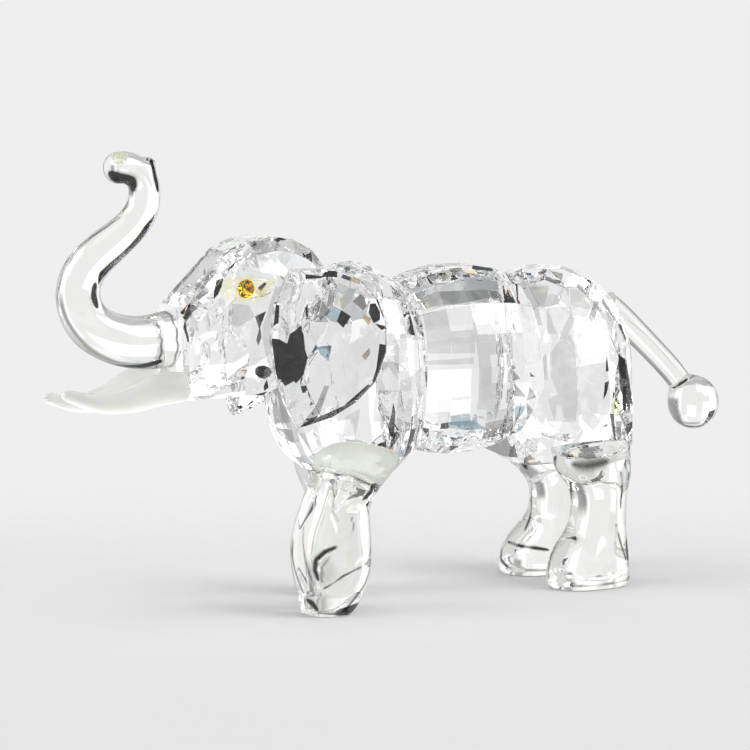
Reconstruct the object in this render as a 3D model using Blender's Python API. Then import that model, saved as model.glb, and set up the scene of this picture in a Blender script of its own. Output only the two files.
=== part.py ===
"""A clear crystal elephant, a collectible figurine built up from ground and hot-formed glass pieces.

The body is three faceted blocks (chest, barrel and hips) bonded in line along X, with a faceted
head and ears, smooth hot-formed legs, trunk and tail, frosted tusks and two round yellow
stones for eyes. Every piece has ground flats, and a thin film of clear adhesive sits between the
flats of two neighbours. Nothing moves.

The elephant faces -X, its left flank is on the -Y side, and it stands on the plane Z = 0. All sizes
are in millimetres until a mesh is finished. X is laid out from a point between the front feet and
is moved by MIDDLE_X at the end, so that the origin is under the middle of the figurine.
"""

import math

import bmesh
import bpy
from mathutils import Matrix, Vector

MM = 0.001

# Length and stance
TUSK_TIP_X = -85.9
TAIL_END_X = 97.5
MIDDLE_X = (TUSK_TIP_X + TAIL_END_X) / 2

# Adhesive: the film is thinner than the space between two flats
FILM_SPACE = 0.30
FILM_CLEARANCE = 0.02

# Body blocks: centre, half sizes, and how square they are along X and round X (2 is an ellipse)
CHEST_CENTRE = Vector((-7.8, 0, 56.2))
CHEST_HALF_ABOVE = (18.5, 20.5, 25.2)
CHEST_HALF_BELOW = (18.5, 20.5, 26.0)
CHEST_POWERS_ABOVE = (2.1, 2.1)
CHEST_POWERS_BELOW = (2.4, 2.8)
BARREL_CENTRE = Vector((21.0, 0, 56.8))
BARREL_HALF = (31.0, 19.5, 22.8)
BARREL_POWERS = (2.0, 2.0)
HIPS_CENTRE = Vector((47.0, 0, 50.5))
HIPS_HALF_ABOVE = (21.2, 21.0, 27.0)
HIPS_HALF_BELOW = (21.2, 21.0, 21.5)
HIPS_POWERS_ABOVE = (2.2, 2.3)
HIPS_POWERS_BELOW_FRONT = (2.0, 4.0)
HIPS_POWERS_BELOW_REAR = (3.6, 4.0)
CHEST_JOINT_X = 4.6
HIPS_JOINT_X = 35.8

# Head
NECK_POINT = Vector((-21.4, 0, 66.9))
NECK_NORMAL = Vector((-0.888, 0, 0.459)).normalized()
HEAD_CORE = Vector((-37.0, 0, 66.0))
HEAD_HALF_WIDTH = 13.4
HEAD_TAPER = 0.5
HEAD_POWER = 2.6
MUZZLE_X = -55.3
HEAD_BOTTOM_Z = 52.8
FOREHEAD = (
    (-57.5, 72.6), (-52.0, 77.8), (-46.9, 83.0), (-42.6, 86.7), (-37.0, 88.9),
    (-30.9, 89.7), (-25.0, 88.7), (-19.8, 86.0), (-15.6, 81.0),
)
SCOOP_CENTRE = Vector((-51.5, 25.2, 62.5))
SCOOP_RADIUS = 15.6
EYE_CENTRE = Vector((-40.8, 11.2, 78.5))
EYE_DIAMETER = 4.1
EYE_CROWN = 0.75
EYE_GIRDLE = 0.25
EYE_PAVILION = 1.6
EYE_RECESS_HALF = (6.0, 1.5, 2.6)

# Ears: the face lies in a plane turned towards the front
EAR_TURN = math.radians(11)
EAR_FACE_CENTRE = Vector((-24.3, 23.2, 64.5))
RIGHT_EAR_DROP = 1.2
EAR_THICKNESS = 7.0
EAR_OUTLINE = (
    (-8.6, 18.2), (1.8, 18.6), (7.9, 15.6), (12.0, 11.1), (14.2, 5.2), (14.2, -1.5),
    (11.4, -8.6), (6.6, -13.2), (1.0, -16.3), (-7.1, -18.6), (-9.8, -13.0),
    (-12.2, -5.6), (-13.2, 2.0), (-12.2, 10.4),
)
EAR_TIP = Vector((-7.1, -18.6))

# Trunk, tusks and tail: centre lines (X, Z) and radii
TRUNK_LINE = (
    (-55.5, 66.4), (-62.5, 66.0), (-70.3, 67.6), (-76.6, 71.6), (-79.2, 78.0), (-77.6, 83.4),
    (-73.4, 87.6), (-66.8, 92.2), (-62.8, 96.4), (-61.6, 101.0), (-62.6, 104.9), (-65.8, 107.1),
    (-68.6, 107.3),
)
TRUNK_RADII = (6.7, 6.3, 5.9, 5.5, 5.2, 5.0, 4.7, 4.2, 3.9, 3.7, 3.7, 3.8, 3.7)
TUSK_LINE = ((-55.5, 56.2), (-61.5, 55.7), (-69.0, 53.6), (-76.5, 53.3), (-83.05, 55.2))
TUSK_RADII = (3.5, 3.7, 2.9, 2.2, 1.5)
TUSK_ROOT_Y = 7.8
TUSK_TIP_Y = 5.0
RIGHT_TUSK_DROOP = math.radians(3.5)
TAIL_LINE = ((65.0, 67.0), (69.3, 63.9), (76.0, 57.8), (83.1, 51.0), (87.0, 46.6))
TAIL_RADII = (3.7, 3.3, 3.1, 3.0, 2.9)
TAIL_BALL_CENTRE = Vector((91.1, 0, 41.0))
TAIL_BALL_RADIUS = 6.4
TAIL_JOINT_POINT = Vector((66.6, 0, 65.0))
TAIL_JOINT_NORMAL = Vector((0.90, 0, 0.44)).normalized()

# Joint planes of the legs: the normal points up into the body, for the left side (y outward)
FRONT_LEFT_JOINT = (Vector((-12.2, 13.0, 36.4)), Vector((0.24, -0.46, 0.85)).normalized())
FRONT_RIGHT_JOINT = (Vector((-5.0, 13.0, 35.4)), Vector((0.05, -0.46, 0.88)).normalized())
HIND_JOINT = (Vector((53.5, 13.0, 33.5)), Vector((0.0, -0.40, 0.92)).normalized())


# Geometry helpers

def signed_power(value, power):
    return math.copysign(abs(value) ** power, value)


def mirrored(vector, side):
    """The same vector on the left (side = -1) or right (side = 1), from outward coordinates."""
    return Vector((vector.x, side * vector.y, vector.z))


def grind(bm, point, normal):
    """Cuts everything past a plane away and closes the cut with one flat."""
    geometry = bm.verts[:] + bm.edges[:] + bm.faces[:]
    cut = bmesh.ops.bisect_plane(
        bm, geom=geometry, dist=1e-4, plane_co=point, plane_no=normal, clear_outer=True
    )
    rim = [item for item in cut["geom_cut"] if isinstance(item, bmesh.types.BMEdge)]
    if rim:
        bmesh.ops.contextual_create(bm, geom=rim)


def ground_solid(planes, block_centre, block_size=160.0):
    """The convex solid left of a glass block once each (point, normal) plane has been ground."""
    bm = bmesh.new()
    bmesh.ops.create_cube(bm, size=block_size, matrix=Matrix.Translation(block_centre))
    for point, normal in planes:
        grind(bm, point, normal)
    return bm


def tangent_plane(centre, half, powers, tilt, turn):
    """The plane that touches a rounded block at a tilt towards +X and a turn about X from +Y."""
    along, around = powers

    def spread(along_share, around_share):
        return (
            signed_power(math.sin(tilt), along_share),
            math.cos(tilt) ** along_share * signed_power(math.cos(turn), around_share),
            math.cos(tilt) ** along_share * signed_power(math.sin(turn), around_share),
        )

    point = spread(2 / along, 2 / around)
    normal = spread(2 - 2 / along, 2 - 2 / around)
    point = Vector([p * h for p, h in zip(point, half)])
    normal = Vector([n / h for n, h in zip(normal, half)])
    return centre + point, normal.normalized()


def facet_rows(rows, block):
    """Tangent planes in rows of (tilt in degrees, facets round the row, share of a step to turn)."""
    planes = []
    for tilt, count, shift in rows:
        for index in range(count):
            turn = math.tau * (index + shift) / count
            centre, half, powers = block(tilt, turn)
            planes.append(tangent_plane(centre, half, powers, math.radians(tilt), turn))
    return planes


def curve_points(keys, steps):
    """Rows of numbers along a Catmull-Rom curve through the key rows."""
    keys = [list(row) for row in keys]
    ends = [
        [2 * a - b for a, b in zip(keys[0], keys[1])],
        [2 * a - b for a, b in zip(keys[-1], keys[-2])],
    ]
    padded = [ends[0], *keys, ends[1]]
    rows = []
    for step in range(steps + 1):
        place = step / steps * (len(keys) - 1)
        index = min(int(place), len(keys) - 2)
        t = place - index
        rows.append([
            b + 0.5 * t * (c - a + t * (2 * a - 5 * b + 4 * c - d + t * (3 * (b - c) + d - a)))
            for a, b, c, d in zip(*padded[index:index + 4])
        ])
    return rows


def bridged(rings, end_point=None):
    """A closed mesh through rings of points, with flat ends or with its last end drawn to a point."""
    bm = bmesh.new()
    loops = [[bm.verts.new(point) for point in ring] for ring in rings]
    count = len(loops[0])
    for lower, upper in zip(loops, loops[1:]):
        for index in range(count):
            after = (index + 1) % count
            bm.faces.new((lower[index], lower[after], upper[after], upper[index]))
    bm.faces.new(loops[0])
    if end_point is None:
        bm.faces.new(loops[-1])
    else:
        tip = bm.verts.new(end_point)
        for index in range(count):
            bm.faces.new((loops[-1][index], loops[-1][(index + 1) % count], tip))
    bmesh.ops.recalc_face_normals(bm, faces=bm.faces)
    return bm


def swept_rod(line, radii, steps, sides=20, end_length=1.0, end_rings=5):
    """A round rod along a curve of (x, y, z), with a flat start and a rounded end."""
    rows = curve_points([(*point, radius) for point, radius in zip(line, radii)], steps)
    centres = [Vector(row[:3]) for row in rows]
    rings = []
    for index, row in enumerate(rows):
        before = centres[max(index - 1, 0)]
        after = centres[min(index + 1, len(centres) - 1)]
        along = (after - before).normalized()
        across = (Vector((0, 1, 0)) - along * along.y).normalized()
        upward = across.cross(along)
        rings.append((centres[index], row[3], across, upward, along))
    centre, radius, across, upward, along = rings[-1]
    for index in range(1, end_rings):
        angle = math.pi / 2 * index / end_rings
        reach = radius * end_length * math.sin(angle)
        rings.append((centre + along * reach, radius * math.cos(angle), across, upward, along))
    tip = centre + along * radius * end_length
    return bridged(
        [
            [
                middle + (across * math.cos(a) + upward * math.sin(a)) * size
                for a in (math.tau * k / sides for k in range(sides))
            ]
            for middle, size, across, upward, along in rings
        ],
        tip,
    )


def lofted_leg(sections, side, sides=28, steps=30, power=2.5):
    """A hot-formed leg through level sections of (x, outward y, z, half length, half width)."""
    rings = []
    for x, y, z, half_x, half_y in curve_points(sections, steps):
        rings.append([
            Vector((
                x + half_x * signed_power(math.cos(a), 2 / power),
                side * (y + half_y * signed_power(math.sin(a), 2 / power)),
                z,
            ))
            for a in (math.tau * k / sides for k in range(sides))
        ])
    return bridged(rings)


def film(point, normal, half_u, half_v, u_axis, sides=28):
    """An oval film of adhesive that starts just above a flat and ends just below its neighbour."""
    normal = normal.normalized()
    u_axis = (u_axis - normal * u_axis.dot(normal)).normalized()
    v_axis = normal.cross(u_axis)
    bottom = point + normal * FILM_CLEARANCE
    top = point + normal * (FILM_SPACE - FILM_CLEARANCE)
    return bridged([
        [
            base + u_axis * half_u * math.cos(a) + v_axis * half_v * math.sin(a)
            for a in (math.tau * k / sides for k in range(sides))
        ]
        for base in (bottom, top)
    ])


def shrunk(planes, margin):
    return [(point - normal * margin, normal) for point, normal in planes]


# Scene helpers

def clear_scene():
    for obj in list(bpy.data.objects):
        bpy.data.objects.remove(obj)


def glass(name, colour, roughness, transmission=1.0, refraction=1.55):
    material = bpy.data.materials.new(name)
    material.use_nodes = True
    shader = material.node_tree.nodes["Principled BSDF"]
    shader.inputs["Base Color"].default_value = (*colour, 1)
    shader.inputs["Roughness"].default_value = roughness
    shader.inputs["Metallic"].default_value = 0
    shader.inputs["IOR"].default_value = refraction
    shader.inputs["Transmission Weight"].default_value = transmission
    material.diffuse_color = (*colour, 1)
    return material


def place(name, bm, origin, material, parent, smooth_angle=None):
    """Turns a mesh in layout millimetres into an object in metres with its origin on its joint."""
    for vertex in bm.verts:
        vertex.co = (vertex.co - origin) * MM
    mesh = bpy.data.meshes.new(name)
    bm.to_mesh(mesh)
    bm.free()
    if smooth_angle is not None:
        mesh.shade_smooth()
        mesh.set_sharp_from_angle(angle=math.radians(smooth_angle))
    obj = bpy.data.objects.new(name, mesh)
    bpy.context.scene.collection.objects.link(obj)
    obj.location = (origin - Vector((MIDDLE_X, 0, 0))) * MM
    if parent:
        obj.parent = parent
    if material:
        mesh.materials.append(material)
    return obj


def carve(obj, cutter):
    """Subtracts a cutter, which stays in the scene as a hidden wire guide."""
    cutter.hide_render = True
    cutter.display_type = "WIRE"
    modifier = obj.modifiers.new(cutter.name, "BOOLEAN")
    modifier.operation = "DIFFERENCE"
    modifier.solver = "EXACT"
    modifier.object = cutter


def cutter_ellipsoid(name, centre, half, parent):
    bm = bmesh.new()
    bmesh.ops.create_uvsphere(bm, u_segments=32, v_segments=16, radius=1.0)
    for vertex in bm.verts:
        vertex.co = centre + Vector([c * h for c, h in zip(vertex.co, half)])
    return place(name, bm, centre, None, parent)


# Planes of the faceted pieces

def leg_joint(joint, side):
    point, normal = joint
    return mirrored(point, side), mirrored(normal, side)


def ear_frame(side):
    """(face centre, rearward axis, outward axis) of an ear."""
    rearward = Vector((math.cos(EAR_TURN), math.sin(EAR_TURN), 0))
    outward = Vector((-math.sin(EAR_TURN), math.cos(EAR_TURN), 0))
    centre = mirrored(EAR_FACE_CENTRE, side) - Vector((0, 0, RIGHT_EAR_DROP * (side > 0)))
    return centre, mirrored(rearward, side), mirrored(outward, side)


def ear_back(side, lift=0.0):
    centre, _, outward = ear_frame(side)
    return centre - outward * (EAR_THICKNESS + lift), outward


def chest_block(tilt, turn):
    if math.sin(turn) > 0:
        return CHEST_CENTRE, CHEST_HALF_ABOVE, CHEST_POWERS_ABOVE
    return CHEST_CENTRE, CHEST_HALF_BELOW, CHEST_POWERS_BELOW


def chest_planes():
    rows = [
        (-72, 8, 0.5), (-54, 14, 0.0), (-36, 16, 0.5), (-19, 16, 0.0),
        (-4, 16, 0.5), (10, 16, 0.5), (24, 16, 0.5), (38, 16, 0.5), (52, 16, 0.5),
    ]
    return facet_rows(rows, chest_block)


def chest_flats():
    flats = [
        (Vector((CHEST_JOINT_X, 0, 0)), Vector((1, 0, 0))),
        (NECK_POINT, NECK_NORMAL),
    ]
    for side in (-1, 1):
        point, outward = ear_back(side, FILM_SPACE)
        flats.append((point, outward))
    for joint, side in ((FRONT_LEFT_JOINT, -1), (FRONT_RIGHT_JOINT, 1)):
        point, normal = leg_joint(joint, side)
        flats.append((point + normal * FILM_SPACE, -normal))
    return flats


def barrel_block(tilt, turn):
    return BARREL_CENTRE, BARREL_HALF, BARREL_POWERS


def barrel_planes():
    return facet_rows([(tilt, 18, 0.5) for tilt in (-24, -12, 0, 12, 24)], barrel_block)


def hips_block(tilt, turn):
    if math.sin(turn) > 0:
        return HIPS_CENTRE, HIPS_HALF_ABOVE, HIPS_POWERS_ABOVE
    powers = HIPS_POWERS_BELOW_FRONT if tilt < 0 else HIPS_POWERS_BELOW_REAR
    return HIPS_CENTRE, HIPS_HALF_BELOW, powers


def hips_planes():
    rows = [
        (-30, 16, 0.5), (-15, 16, 0.5), (0, 16, 0.0), (15, 16, 0.5), (30, 16, 0.0),
        (46, 14, 0.5), (62, 10, 0.0), (80, 6, 0.5),
    ]
    return facet_rows(rows, hips_block)


def hips_flats():
    flats = [
        (Vector((HIPS_JOINT_X + FILM_SPACE, 0, 0)), Vector((-1, 0, 0))),
        (TAIL_JOINT_POINT, TAIL_JOINT_NORMAL),
    ]
    for side in (-1, 1):
        point, normal = leg_joint(HIND_JOINT, side)
        flats.append((point + normal * FILM_SPACE, -normal))
    return flats


def head_planes():
    """Forehead facets follow the profile in bands that wrap down both cheeks."""
    planes = []
    edges = list(zip(FOREHEAD, FOREHEAD[1:]))
    for index, ((x0, z0), (x1, z1)) in enumerate(edges):
        normal = Vector((z0 - z1, 0, x1 - x0)).normalized()
        reach = (Vector((x0, 0, z0)) - HEAD_CORE).dot(normal)
        width = HEAD_HALF_WIDTH - HEAD_TAPER * max(0, 2 - index)
        for tilt in (0, 24, 46, 66):
            for side in (-1, 1) if tilt else (1,):
                share = 2 - 2 / HEAD_POWER
                slope = normal * math.cos(math.radians(tilt)) ** share / reach
                slope.y = side * math.sin(math.radians(tilt)) ** share / width
                planes.append((HEAD_CORE + slope / slope.length_squared, slope.normalized()))
    for side in (-1, 1):
        cheeks = (
            ((-45.0, 12.9, 64.0), (-0.16, 0.98, 0.06)),
            ((-28.0, 13.3, 70.0), (0.0, 1.0, 0.0)),
            ((-50.0, 12.0, 56.0), (-0.22, 0.90, -0.36)),
            ((-38.0, 12.0, 56.0), (0.02, 0.84, -0.54)),
            ((-44.0, 9.5, 53.2), (-0.05, 0.40, -0.91)),
            ((-30.0, 12.0, 57.0), (0.30, 0.80, -0.50)),
        )
        for point, normal in cheeks:
            planes.append((mirrored(Vector(point), side), mirrored(Vector(normal), side)))
    planes.append((Vector((-35.8, 0, HEAD_BOTTOM_Z)), Vector((0.50, 0, -0.87))))
    return [(point, normal.normalized()) for point, normal in planes]


def head_flats():
    return [
        (NECK_POINT + NECK_NORMAL * FILM_SPACE, -NECK_NORMAL),
        (Vector((MUZZLE_X, 0, 0)), Vector((-1, 0, 0))),
        (Vector((0, 0, HEAD_BOTTOM_Z)), Vector((0, 0, -1))),
    ]


def ear_planes(side):
    """A flat back, an outline of edge flats with a rim bevel, rows of small facets at the top
    rear, a wide bevel at the front, and shallow facets that fan out from the lower tip."""
    centre, rearward, outward = ear_frame(side)

    def at(u, v, depth):
        return centre + rearward * u + Vector((0, 0, v)) - outward * depth

    def facing(u, v, tilt):
        flat = (rearward * u + Vector((0, 0, v))).normalized()
        return flat * math.sin(tilt) + outward * math.cos(tilt)

    planes = [(at(0, 0, EAR_THICKNESS), -outward)]
    for index, (start, end) in enumerate(zip(EAR_OUTLINE, EAR_OUTLINE[1:] + EAR_OUTLINE[:1])):
        u, v = (start[0] + end[0]) / 2, (start[1] + end[1]) / 2
        nu, nv = start[1] - end[1], end[0] - start[0]
        nu, nv = nu / math.hypot(nu, nv), nv / math.hypot(nu, nv)
        planes.append((at(u, v, 0), facing(nu, nv, math.radians(88))))
        if index >= 9:
            planes.append((at(u, v, 5.0), facing(nu, nv, math.radians(42))))
            continue
        planes.append((at(u, v, 3.4), facing(nu, nv, math.radians(56))))
        if index <= 4:
            planes.append((at(u - 1.5 * nu, v - 1.5 * nv, 1.75), facing(nu, nv, math.radians(21))))
            planes.append((at(u - 5.5 * nu, v - 5.5 * nv, 0.45), facing(nu, nv, math.radians(12))))
    for angle, tilt in ((14, 6.0), (38, 3.5), (58, 4.5), (80, 2.5)):
        spread = math.radians(angle)
        normal = facing(math.cos(spread), math.sin(spread), math.radians(tilt))
        planes.append((at(EAR_TIP.x, EAR_TIP.y, 0), normal))
    return planes


def eye_planes(centre, side):
    """A round stone with a table, eight crown facets, a sixteen-sided girdle and a cone of eight."""
    radius = EYE_DIAMETER / 2
    outward = Vector((0, side, 0))
    planes = [(centre + outward * EYE_CROWN, outward)]
    for index in range(8):
        angle = math.tau * (index + 0.5) / 8
        spoke = Vector((math.cos(angle), 0, math.sin(angle)))
        crown = (spoke * math.sin(math.radians(42)) + outward * math.cos(math.radians(42)))
        pavilion_slope = math.atan2(EYE_PAVILION, radius)
        pavilion = spoke * math.sin(pavilion_slope) - outward * math.cos(pavilion_slope)
        planes.append((centre + spoke * radius, crown))
        planes.append((centre - outward * (EYE_GIRDLE + EYE_PAVILION), pavilion))
    for index in range(16):
        angle = math.tau * index / 16
        spoke = Vector((math.cos(angle), 0, math.sin(angle)))
        planes.append((centre + spoke * radius, spoke))
    return planes


# Pieces

def add_body(crystal, adhesive, parent):
    chest = chest_planes() + chest_flats()
    place("chest", ground_solid(chest, CHEST_CENTRE), CHEST_CENTRE, crystal, parent)
    barrel = barrel_planes() + [
        (Vector((CHEST_JOINT_X + FILM_SPACE, 0, 0)), Vector((-1, 0, 0))),
        (Vector((HIPS_JOINT_X, 0, 0)), Vector((1, 0, 0))),
    ]
    place("barrel", ground_solid(barrel, BARREL_CENTRE), BARREL_CENTRE, crystal, parent)
    hips = hips_planes() + hips_flats()
    place("hips", ground_solid(hips, HIPS_CENTRE), HIPS_CENTRE, crystal, parent)
    for name, before, after, x in (
        ("bond_chest_to_barrel", chest_planes(), barrel_planes(), CHEST_JOINT_X),
        ("bond_barrel_to_hips", barrel_planes(), hips_planes(), HIPS_JOINT_X),
    ):
        joint = Vector((x, 0, BARREL_CENTRE.z))
        planes = shrunk(before + after, 0.3) + [
            (Vector((x + FILM_CLEARANCE, 0, 0)), Vector((-1, 0, 0))),
            (Vector((x + FILM_SPACE - FILM_CLEARANCE, 0, 0)), Vector((1, 0, 0))),
        ]
        place(name, ground_solid(planes, joint), joint, adhesive, parent)


def add_head(crystal, stone, adhesive, parent):
    planes = head_planes() + head_flats()
    head = place("head", ground_solid(planes, HEAD_CORE), HEAD_CORE, crystal, parent)
    film_planes = shrunk(head_planes() + chest_planes(), 0.3) + [
        (NECK_POINT + NECK_NORMAL * FILM_CLEARANCE, -NECK_NORMAL),
        (NECK_POINT + NECK_NORMAL * (FILM_SPACE - FILM_CLEARANCE), NECK_NORMAL),
    ]
    neck_film = ground_solid(film_planes, NECK_POINT)
    place("bond_head_to_chest", neck_film, NECK_POINT, adhesive, parent)

    for side, hand in ((-1, "left"), (1, "right")):
        scoop = (SCOOP_RADIUS, SCOOP_RADIUS, SCOOP_RADIUS)
        carve(head, cutter_ellipsoid(f"{hand}_scoop", mirrored(SCOOP_CENTRE, side), scoop, parent))
        eye = mirrored(EYE_CENTRE, side)
        socket = eye + Vector((0.8, 0.9 * side, 0.3))
        carve(head, cutter_ellipsoid(f"{hand}_eye_recess", socket, EYE_RECESS_HALF, parent))
        add_eye(head, hand, side, eye, stone, adhesive, parent)


def eye_cone(eye, side, offset, sides=8):
    """The rim and the bottom of a cone that stands off the stone's pavilion by offset."""
    radius = EYE_DIAMETER / 2 / math.cos(math.pi / sides)
    slope = math.atan2(EYE_PAVILION, EYE_DIAMETER / 2)
    drop = offset / math.cos(slope)
    rim = [
        eye + Vector((
            (radius + offset * math.sin(slope)) * math.cos(math.tau * k / sides),
            -side * (EYE_GIRDLE + offset * (math.cos(slope) - 1) + 0.02),
            (radius + offset * math.sin(slope)) * math.sin(math.tau * k / sides),
        ))
        for k in range(sides)
    ]
    bottom = eye - Vector((0, side * (EYE_GIRDLE + EYE_PAVILION + drop), 0))
    return rim, bottom


def add_eye(head, hand, side, eye, stone, adhesive, parent):
    """The stone sits in a drilled conical seat, on a cup of adhesive."""
    place(f"{hand}_eye", ground_solid(eye_planes(eye, side), eye, 20), eye, stone, parent)

    seat_rim, seat_bottom = eye_cone(eye, side, FILM_SPACE)
    mouth = [point + Vector((0, side * 4, 0)) for point in seat_rim]
    seat = place(f"{hand}_eye_seat", bridged([mouth, seat_rim], seat_bottom), eye, None, parent)
    carve(head, seat)

    inner_rim, inner_bottom = eye_cone(eye, side, FILM_CLEARANCE)
    outer_rim, outer_bottom = eye_cone(eye, side, FILM_SPACE - FILM_CLEARANCE)
    cup = bmesh.new()
    inner = [cup.verts.new(point) for point in inner_rim]
    outer = [cup.verts.new(point) for point in outer_rim]
    inner_tip = cup.verts.new(inner_bottom)
    outer_tip = cup.verts.new(outer_bottom)
    for k in range(len(inner)):
        after = (k + 1) % len(inner)
        cup.faces.new((inner[k], inner[after], inner_tip))
        cup.faces.new((outer[after], outer[k], outer_tip))
        cup.faces.new((inner[after], inner[k], outer[k], outer[after]))
    bmesh.ops.recalc_face_normals(cup, faces=cup.faces)
    place(f"bond_{hand}_eye", cup, eye, adhesive, parent)


def add_ears(crystal, adhesive, parent):
    for side, hand in ((-1, "left"), (1, "right")):
        back, outward = ear_back(side)
        place(f"{hand}_ear", ground_solid(ear_planes(side), back), back, crystal, parent)
        bond = Vector((-13.6, back.y, 60.0))
        bond -= outward * ((bond - back).dot(outward) + FILM_SPACE)
        ear_film = film(bond, outward, 5.2, 6.5, Vector((1, 0, 0)))
        place(f"bond_{hand}_ear", ear_film, bond, adhesive, parent)


def add_trunk(crystal, adhesive, parent):
    root = Vector((MUZZLE_X, 0, TRUNK_LINE[0][1]))
    line = [(x, 0, z) for x, z in TRUNK_LINE]
    rod = swept_rod(line, TRUNK_RADII, steps=44, sides=24, end_length=0.9)
    grind(rod, Vector((MUZZLE_X - FILM_SPACE, 0, 0)), Vector((1, 0, 0)))
    trunk = place("trunk", rod, root, crystal, parent, smooth_angle=50)
    nostril = Vector((-69.4, -1.4, 109.6))
    carve(trunk, cutter_ellipsoid("nostril", nostril, (1.9, 1.5, 3.2), parent))
    trunk_film = film(root, Vector((-1, 0, 0)), 6.2, 6.2, Vector((0, 1, 0)))
    place("bond_trunk", trunk_film, root, adhesive, parent)


def add_tusks(frosted, adhesive, parent):
    for side, hand, droop in ((-1, "left", 0.0), (1, "right", RIGHT_TUSK_DROOP)):
        root = Vector((MUZZLE_X, side * TUSK_ROOT_Y, TUSK_LINE[0][1]))
        reach = TUSK_LINE[0][0] - TUSK_LINE[-1][0]
        line = []
        for x, z in TUSK_LINE:
            share = (TUSK_LINE[0][0] - x) / reach
            y = TUSK_ROOT_Y + (TUSK_TIP_Y - TUSK_ROOT_Y) * share
            line.append((x, side * y, z - math.tan(droop) * reach * share))
        rod = swept_rod(line, TUSK_RADII, steps=22, sides=20, end_length=1.9, end_rings=6)
        grind(rod, Vector((MUZZLE_X - FILM_SPACE, 0, 0)), Vector((1, 0, 0)))
        place(f"{hand}_tusk", rod, root, frosted, parent, smooth_angle=50)
        tusk_film = film(root, Vector((-1, 0, 0)), 3.2, 3.2, Vector((0, 1, 0)), sides=20)
        place(f"bond_{hand}_tusk", tusk_film, root, adhesive, parent)


def add_legs(crystal, adhesive, parent):
    """Each leg is a thigh band, a slimmer shin and a foot that flares, ground flat at both ends."""
    hind = [
        (53.6, 12.2, 44.0, 9.3, 8.2), (53.6, 12.2, 36.0, 9.3, 8.2), (53.9, 12.2, 30.0, 9.3, 8.0),
        (55.6, 11.4, 26.2, 8.3, 7.0), (57.3, 9.9, 22.0, 6.8, 6.0), (57.0, 9.8, 15.0, 6.9, 6.0),
        (54.6, 10.8, 9.5, 9.2, 6.8), (53.4, 11.4, 4.5, 10.3, 7.7), (53.4, 11.5, 1.2, 10.4, 7.8),
        (53.4, 11.5, 0.0, 9.8, 7.2),
    ]
    straight = [
        (-4.8, 12.4, 46.0, 9.4, 8.0), (-4.8, 12.4, 38.0, 9.4, 8.0), (-4.8, 12.4, 31.0, 9.2, 7.8),
        (-5.0, 11.8, 26.5, 7.6, 6.8), (-5.2, 11.2, 22.0, 6.2, 5.8), (-5.6, 11.2, 12.0, 6.2, 5.8),
        (-6.2, 11.5, 6.0, 7.2, 6.8), (-6.4, 11.5, 1.2, 7.4, 7.0), (-6.4, 11.5, 0.0, 6.9, 6.5),
    ]
    stepping = [
        (-10.8, 13.2, 52.0, 10.2, 8.2), (-11.6, 13.2, 43.0, 10.2, 8.2),
        (-12.6, 13.0, 35.5, 10.2, 8.2), (-15.4, 12.2, 30.0, 8.8, 7.2), (-17.6, 11.6, 25.0, 8.4, 6.6),
        (-18.4, 11.5, 20.0, 9.5, 6.8), (-18.6, 11.5, 14.5, 9.9, 7.0), (-18.4, 11.5, 9.0, 9.3, 7.2),
        (-18.6, 11.5, 3.6, 7.5, 6.9), (-19.6, 11.5, -2.0, 5.8, 6.2), (-20.6, 11.5, -6.0, 5.0, 5.6),
    ]
    for name, sections, joint, side in (
        ("left_front_leg", stepping, FRONT_LEFT_JOINT, -1),
        ("right_front_leg", straight, FRONT_RIGHT_JOINT, 1),
        ("left_hind_leg", hind, HIND_JOINT, -1),
        ("right_hind_leg", hind, HIND_JOINT, 1),
    ):
        point, normal = leg_joint(joint, side)
        leg = lofted_leg(sections, side)
        grind(leg, point, normal)
        if sections is stepping:
            grind(leg, Vector((-16.8, 0, 0)), Vector((0.70, 0, -0.71)))
            grind(leg, Vector((0, 0, 0)), Vector((0, 0, -1)))
        place(name, leg, point, crystal, parent, smooth_angle=50)
        leg_film = film(point, normal, 6.4, 5.0, Vector((1, 0, 0)))
        place(f"bond_{name}", leg_film, point, adhesive, parent)


def add_tail(crystal, adhesive, parent):
    line = [(x, 0, z) for x, z in TAIL_LINE]
    rod = swept_rod(line, TAIL_RADII, steps=20, sides=20)
    joint = TAIL_JOINT_POINT + TAIL_JOINT_NORMAL * FILM_SPACE
    grind(rod, joint, -TAIL_JOINT_NORMAL)
    tail = place("tail", rod, joint, crystal, parent, smooth_angle=50)
    ball_size = (TAIL_BALL_RADIUS, TAIL_BALL_RADIUS, TAIL_BALL_RADIUS * 1.06)
    ball = cutter_ellipsoid("tail_ball", TAIL_BALL_CENTRE, ball_size, parent)
    carve(tail, ball)
    tail.modifiers[ball.name].operation = "UNION"
    tail_film = film(TAIL_JOINT_POINT, TAIL_JOINT_NORMAL, 3.0, 3.0, Vector((0, 1, 0)), sides=20)
    place("bond_tail", tail_film, TAIL_JOINT_POINT, adhesive, parent)


def main():
    clear_scene()
    figurine = bpy.data.objects.new("figurine", None)
    bpy.context.scene.collection.objects.link(figurine)
    crystal = glass("clear_crystal", (1.0, 1.0, 1.0), 0.0)
    stone = glass("yellow_stone", (1.0, 0.78, 0.05), 0.02)
    frosted = glass("frosted_crystal", (0.90, 0.90, 0.88), 0.5, transmission=0.6)
    adhesive = glass("clear_adhesive", (1.0, 1.0, 1.0), 0.0, refraction=1.5)
    add_body(crystal, adhesive, figurine)
    add_head(crystal, stone, adhesive, figurine)
    add_ears(crystal, adhesive, figurine)
    add_trunk(crystal, adhesive, figurine)
    add_tusks(frosted, adhesive, figurine)
    add_legs(crystal, adhesive, figurine)
    add_tail(crystal, adhesive, figurine)


main()
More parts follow.
